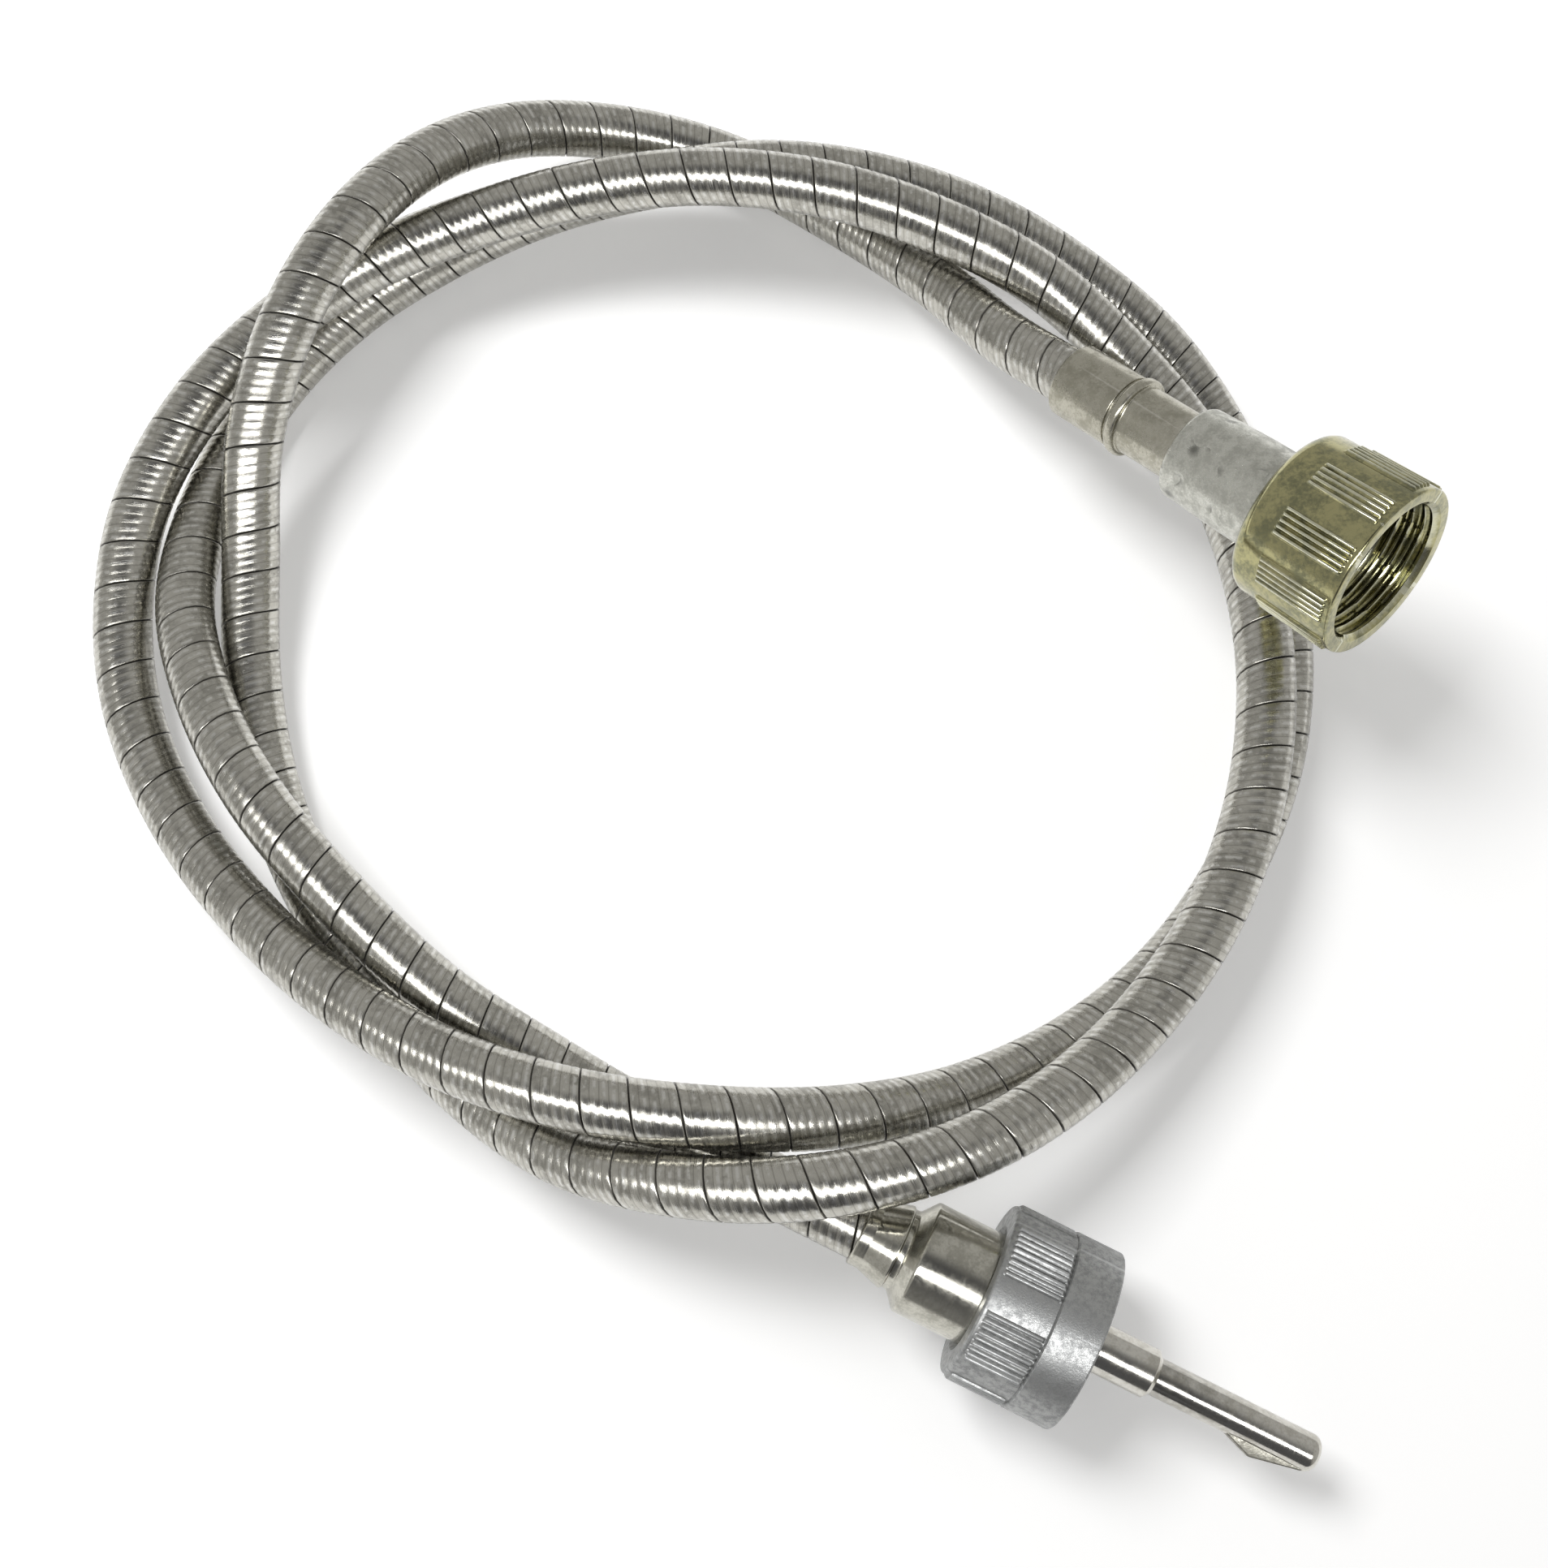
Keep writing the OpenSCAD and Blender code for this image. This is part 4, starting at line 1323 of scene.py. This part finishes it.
    def _add_key(self, mesh: bmesh.types.BMesh, collar_end: float) -> None:
        """Adds the fin on the side of the pin, sunk into it and with its edges eased."""
        foot, top = self.pin_radius * self.key_foot, self.pin_radius + self.key_height
        start = collar_end + self.key_start
        end = collar_end + self.pin_length - self.pin_rounding
        side = [
            (start, foot),
            (start, self.pin_radius),
            (start + self.key_rise, top),
            (end, self.pin_radius),
            (end, foot),
        ]
        flat = [mesh.verts.new((-self.key_width / 2, -radius, along)) for along, radius in side]
        face = mesh.faces.new(flat)
        drawn = bmesh.ops.extrude_face_region(mesh, geom=[face], use_keep_orig=True)["geom"]
        moved = [part for part in drawn if isinstance(part, bmesh.types.BMVert)]
        bmesh.ops.translate(mesh, verts=moved, vec=(self.key_width, 0, 0))
        crest = [vert for vert in flat + moved if -vert.co.y > self.pin_radius + TOUCHING]
        bmesh.ops.scale(mesh, verts=crest, vec=(self.key_taper, 1, 1))
        fin = list({face for vert in flat + moved for face in vert.link_faces})
        bmesh.ops.recalc_face_normals(mesh, faces=fin)
        for face in fin:
            face.material_index = 1
        top_edges = [
            edge for edge in {edge for face in fin for edge in face.edges}
            if min(-vert.co.y for vert in edge.verts) >= self.pin_radius - TOUCHING
        ]
        bmesh.ops.bevel(
            mesh, geom=top_edges, offset=self.key_easing, segments=3, profile=0.5,
            affect="EDGES", material=-1,
        )

    def build(self) -> list[bpy.types.Object]:
        """Builds the whole fitting."""
        return [self.sleeve(), self.nut(), self.pin()]


@dataclass
class InnerParts:
    """The frame's own inner pieces, which keep their shape and get their finishes."""

    alone: dict[str, Finish] = field(
        default_factory=lambda: {
            "casing_liner": LINER_NYLON,
            "drive_core": CORE_STEEL,
            "instrument_square_drive": PIN_STEEL,
        }
    )
    at_both_ends: dict[str, Finish] = field(
        default_factory=lambda: {
            "bush": BUSH_BRONZE,
            "felt": OILED_FELT,
            "snap_ring": SPRING_STEEL,
            "thrust_washer": WASHER_STEEL,
            "seal": SEAL_RUBBER,
            "nut_washer": WASHER_STEEL,
        }
    )

    def dress(self) -> None:
        """Gives each inner piece its material."""
        finishes = dict(self.alone)
        for end in ("instrument", "drive"):
            finishes.update({f"{end}_{part}": finish for part, finish in self.at_both_ends.items()})
        for node, finish in finishes.items():
            axis = DRIVE_AXIS if node.startswith("drive") else INSTRUMENT_AXIS
            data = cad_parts[node].data
            data.materials.clear()
            data.materials.append(finish.material(axis))
            LOG.info("%s: finished as %s", node, finish.name)


# ---------------------------------------------------------------- camera and studio


@dataclass
class Viewpoint:
    """The camera, above the coil and a little in front of it."""

    target: Vector = field(default_factory=lambda: Vector((0.004, -0.006, 0.0)))
    elevation: float = 75.0
    distance: float = 0.225
    lens: float = 41.925
    nearest: float = 0.005

    def build(self) -> None:
        """Places the camera and makes it the scene's own."""
        lean = math.radians(self.elevation)
        back = Vector((0.0, -math.cos(lean), math.sin(lean)))
        camera = bpy.data.objects.new("camera", bpy.data.cameras.new("camera"))
        camera.location = self.target + back * self.distance
        camera.rotation_euler = (-back).to_track_quat("-Z", "Y").to_euler()
        camera.data.lens = self.lens
        camera.data.clip_start = self.nearest
        bpy.context.scene.collection.objects.link(camera)
        bpy.context.scene.camera = camera
        LOG.info("camera: %.0f degrees up, %.3f m away", self.elevation, self.distance)


@dataclass(frozen=True)
class Softbox:
    """A flat lamp that faces the middle of the coil."""

    name: str
    place: Vector
    size: tuple[float, float]
    power: float
    in_diffuse: bool = True
    in_gloss: bool = True

    def hang(self) -> None:
        """Adds the lamp, with its long side level."""
        light = bpy.data.lights.new(self.name, "AREA")
        light.shape = "RECTANGLE"
        light.size, light.size_y = self.size
        light.energy = self.power
        lamp = bpy.data.objects.new(self.name, light)
        lamp.location = self.place
        lamp.rotation_euler = (-self.place).to_track_quat("-Z", "Y").to_euler()
        lamp.visible_diffuse = self.in_diffuse
        lamp.visible_glossy = self.in_gloss
        bpy.context.scene.collection.objects.link(lamp)


@dataclass
class Studio:
    """A pale table, a soft key lamp, a long lamp for the sheen of the metal, and an even sky."""

    table_tone: Colour = (0.86, 0.86, 0.86, 1.0)
    table_glow: float = 0.3
    table_reach: float = 3.0
    sky_open: Colour = (0.5, 0.495, 0.48, 1.0)
    sky_shaded: Colour = (0.1, 0.1, 0.105, 1.0)
    open_behind: tuple[float, float] = (0.0, 0.45)
    open_beside: tuple[float, float] = (0.2, 0.65)
    lamps: list[Softbox] = field(
        default_factory=lambda: [
            Softbox("key_softbox", Vector((-0.24, 0.2, 0.53)), (0.24, 0.24), 2.7, in_gloss=False),
            Softbox("sheen_softbox", Vector((-0.06, -0.24, 0.45)), (0.68, 0.12), 2.4, in_diffuse=False),
        ]
    )

    def table(self) -> None:
        """Lays the table, which looks white but keeps the shadows."""
        mesh = bmesh.new()
        bmesh.ops.create_grid(mesh, x_segments=1, y_segments=1, size=self.table_reach)
        made = bpy.data.materials.new("pale_table")
        made.use_nodes = True
        sketch = Sketch(made.node_tree)
        lit = sketch.add("BsdfDiffuse", Color=self.table_tone)
        glow = sketch.add("Emission", Color=WHITE, Strength=self.table_glow)
        rays = sketch.add("LightPath")
        seen = sketch.math("MAXIMUM", rays.outputs["Is Camera Ray"], rays.outputs["Is Glossy Ray"])
        both = sketch.add("AddShader")
        sketch.feed(both, 0, lit.outputs[0])
        sketch.feed(both, 1, glow.outputs[0])
        chosen = sketch.add("MixShader")
        for index, value in ((0, seen), (1, lit.outputs[0]), (2, both.outputs[0])):
            sketch.feed(chosen, index, value)
        sketch.add("OutputMaterial", Surface=chosen.outputs[0])
        keep(mesh, "table", made)

    def sky(self) -> None:
        """Sets a sky that is even at the back and the sides, and darker overhead and in front."""
        world = bpy.data.worlds.new("soft_room")
        world.use_nodes = True
        sketch = Sketch(world.node_tree)
        towards = sketch.add("SeparateXYZ", Vector=sketch.add("TexCoord").outputs["Generated"])
        behind = sketch.ramp(towards.outputs[1], *self.open_behind)
        beside = sketch.ramp(sketch.math("ABSOLUTE", towards.outputs[0]), *self.open_beside)
        tone = sketch.mix(sketch.math("MAXIMUM", behind, beside), self.sky_shaded, self.sky_open)
        light = sketch.add("Background", Color=tone, Strength=1.0)
        sketch.add("OutputWorld", Surface=light.outputs[0])
        bpy.context.scene.world = world

    def build(self) -> None:
        """Sets up the whole studio."""
        bpy.context.scene.view_settings.view_transform = "Standard"
        self.table()
        self.sky()
        for lamp in self.lamps:
            lamp.hang()


def main() -> None:
    """Builds the camera, the casing, both fittings and the studio, in that order."""
    logging.basicConfig(level=logging.INFO, format="%(message)s")
    Viewpoint().build()
    casing = WoundCasing()
    piece, line = casing.build()
    InstrumentFitting().build()
    drive_pieces = DriveFitting().build()
    InnerParts().dress()
    Studio().build()


if __name__ == "__main__":
    main()
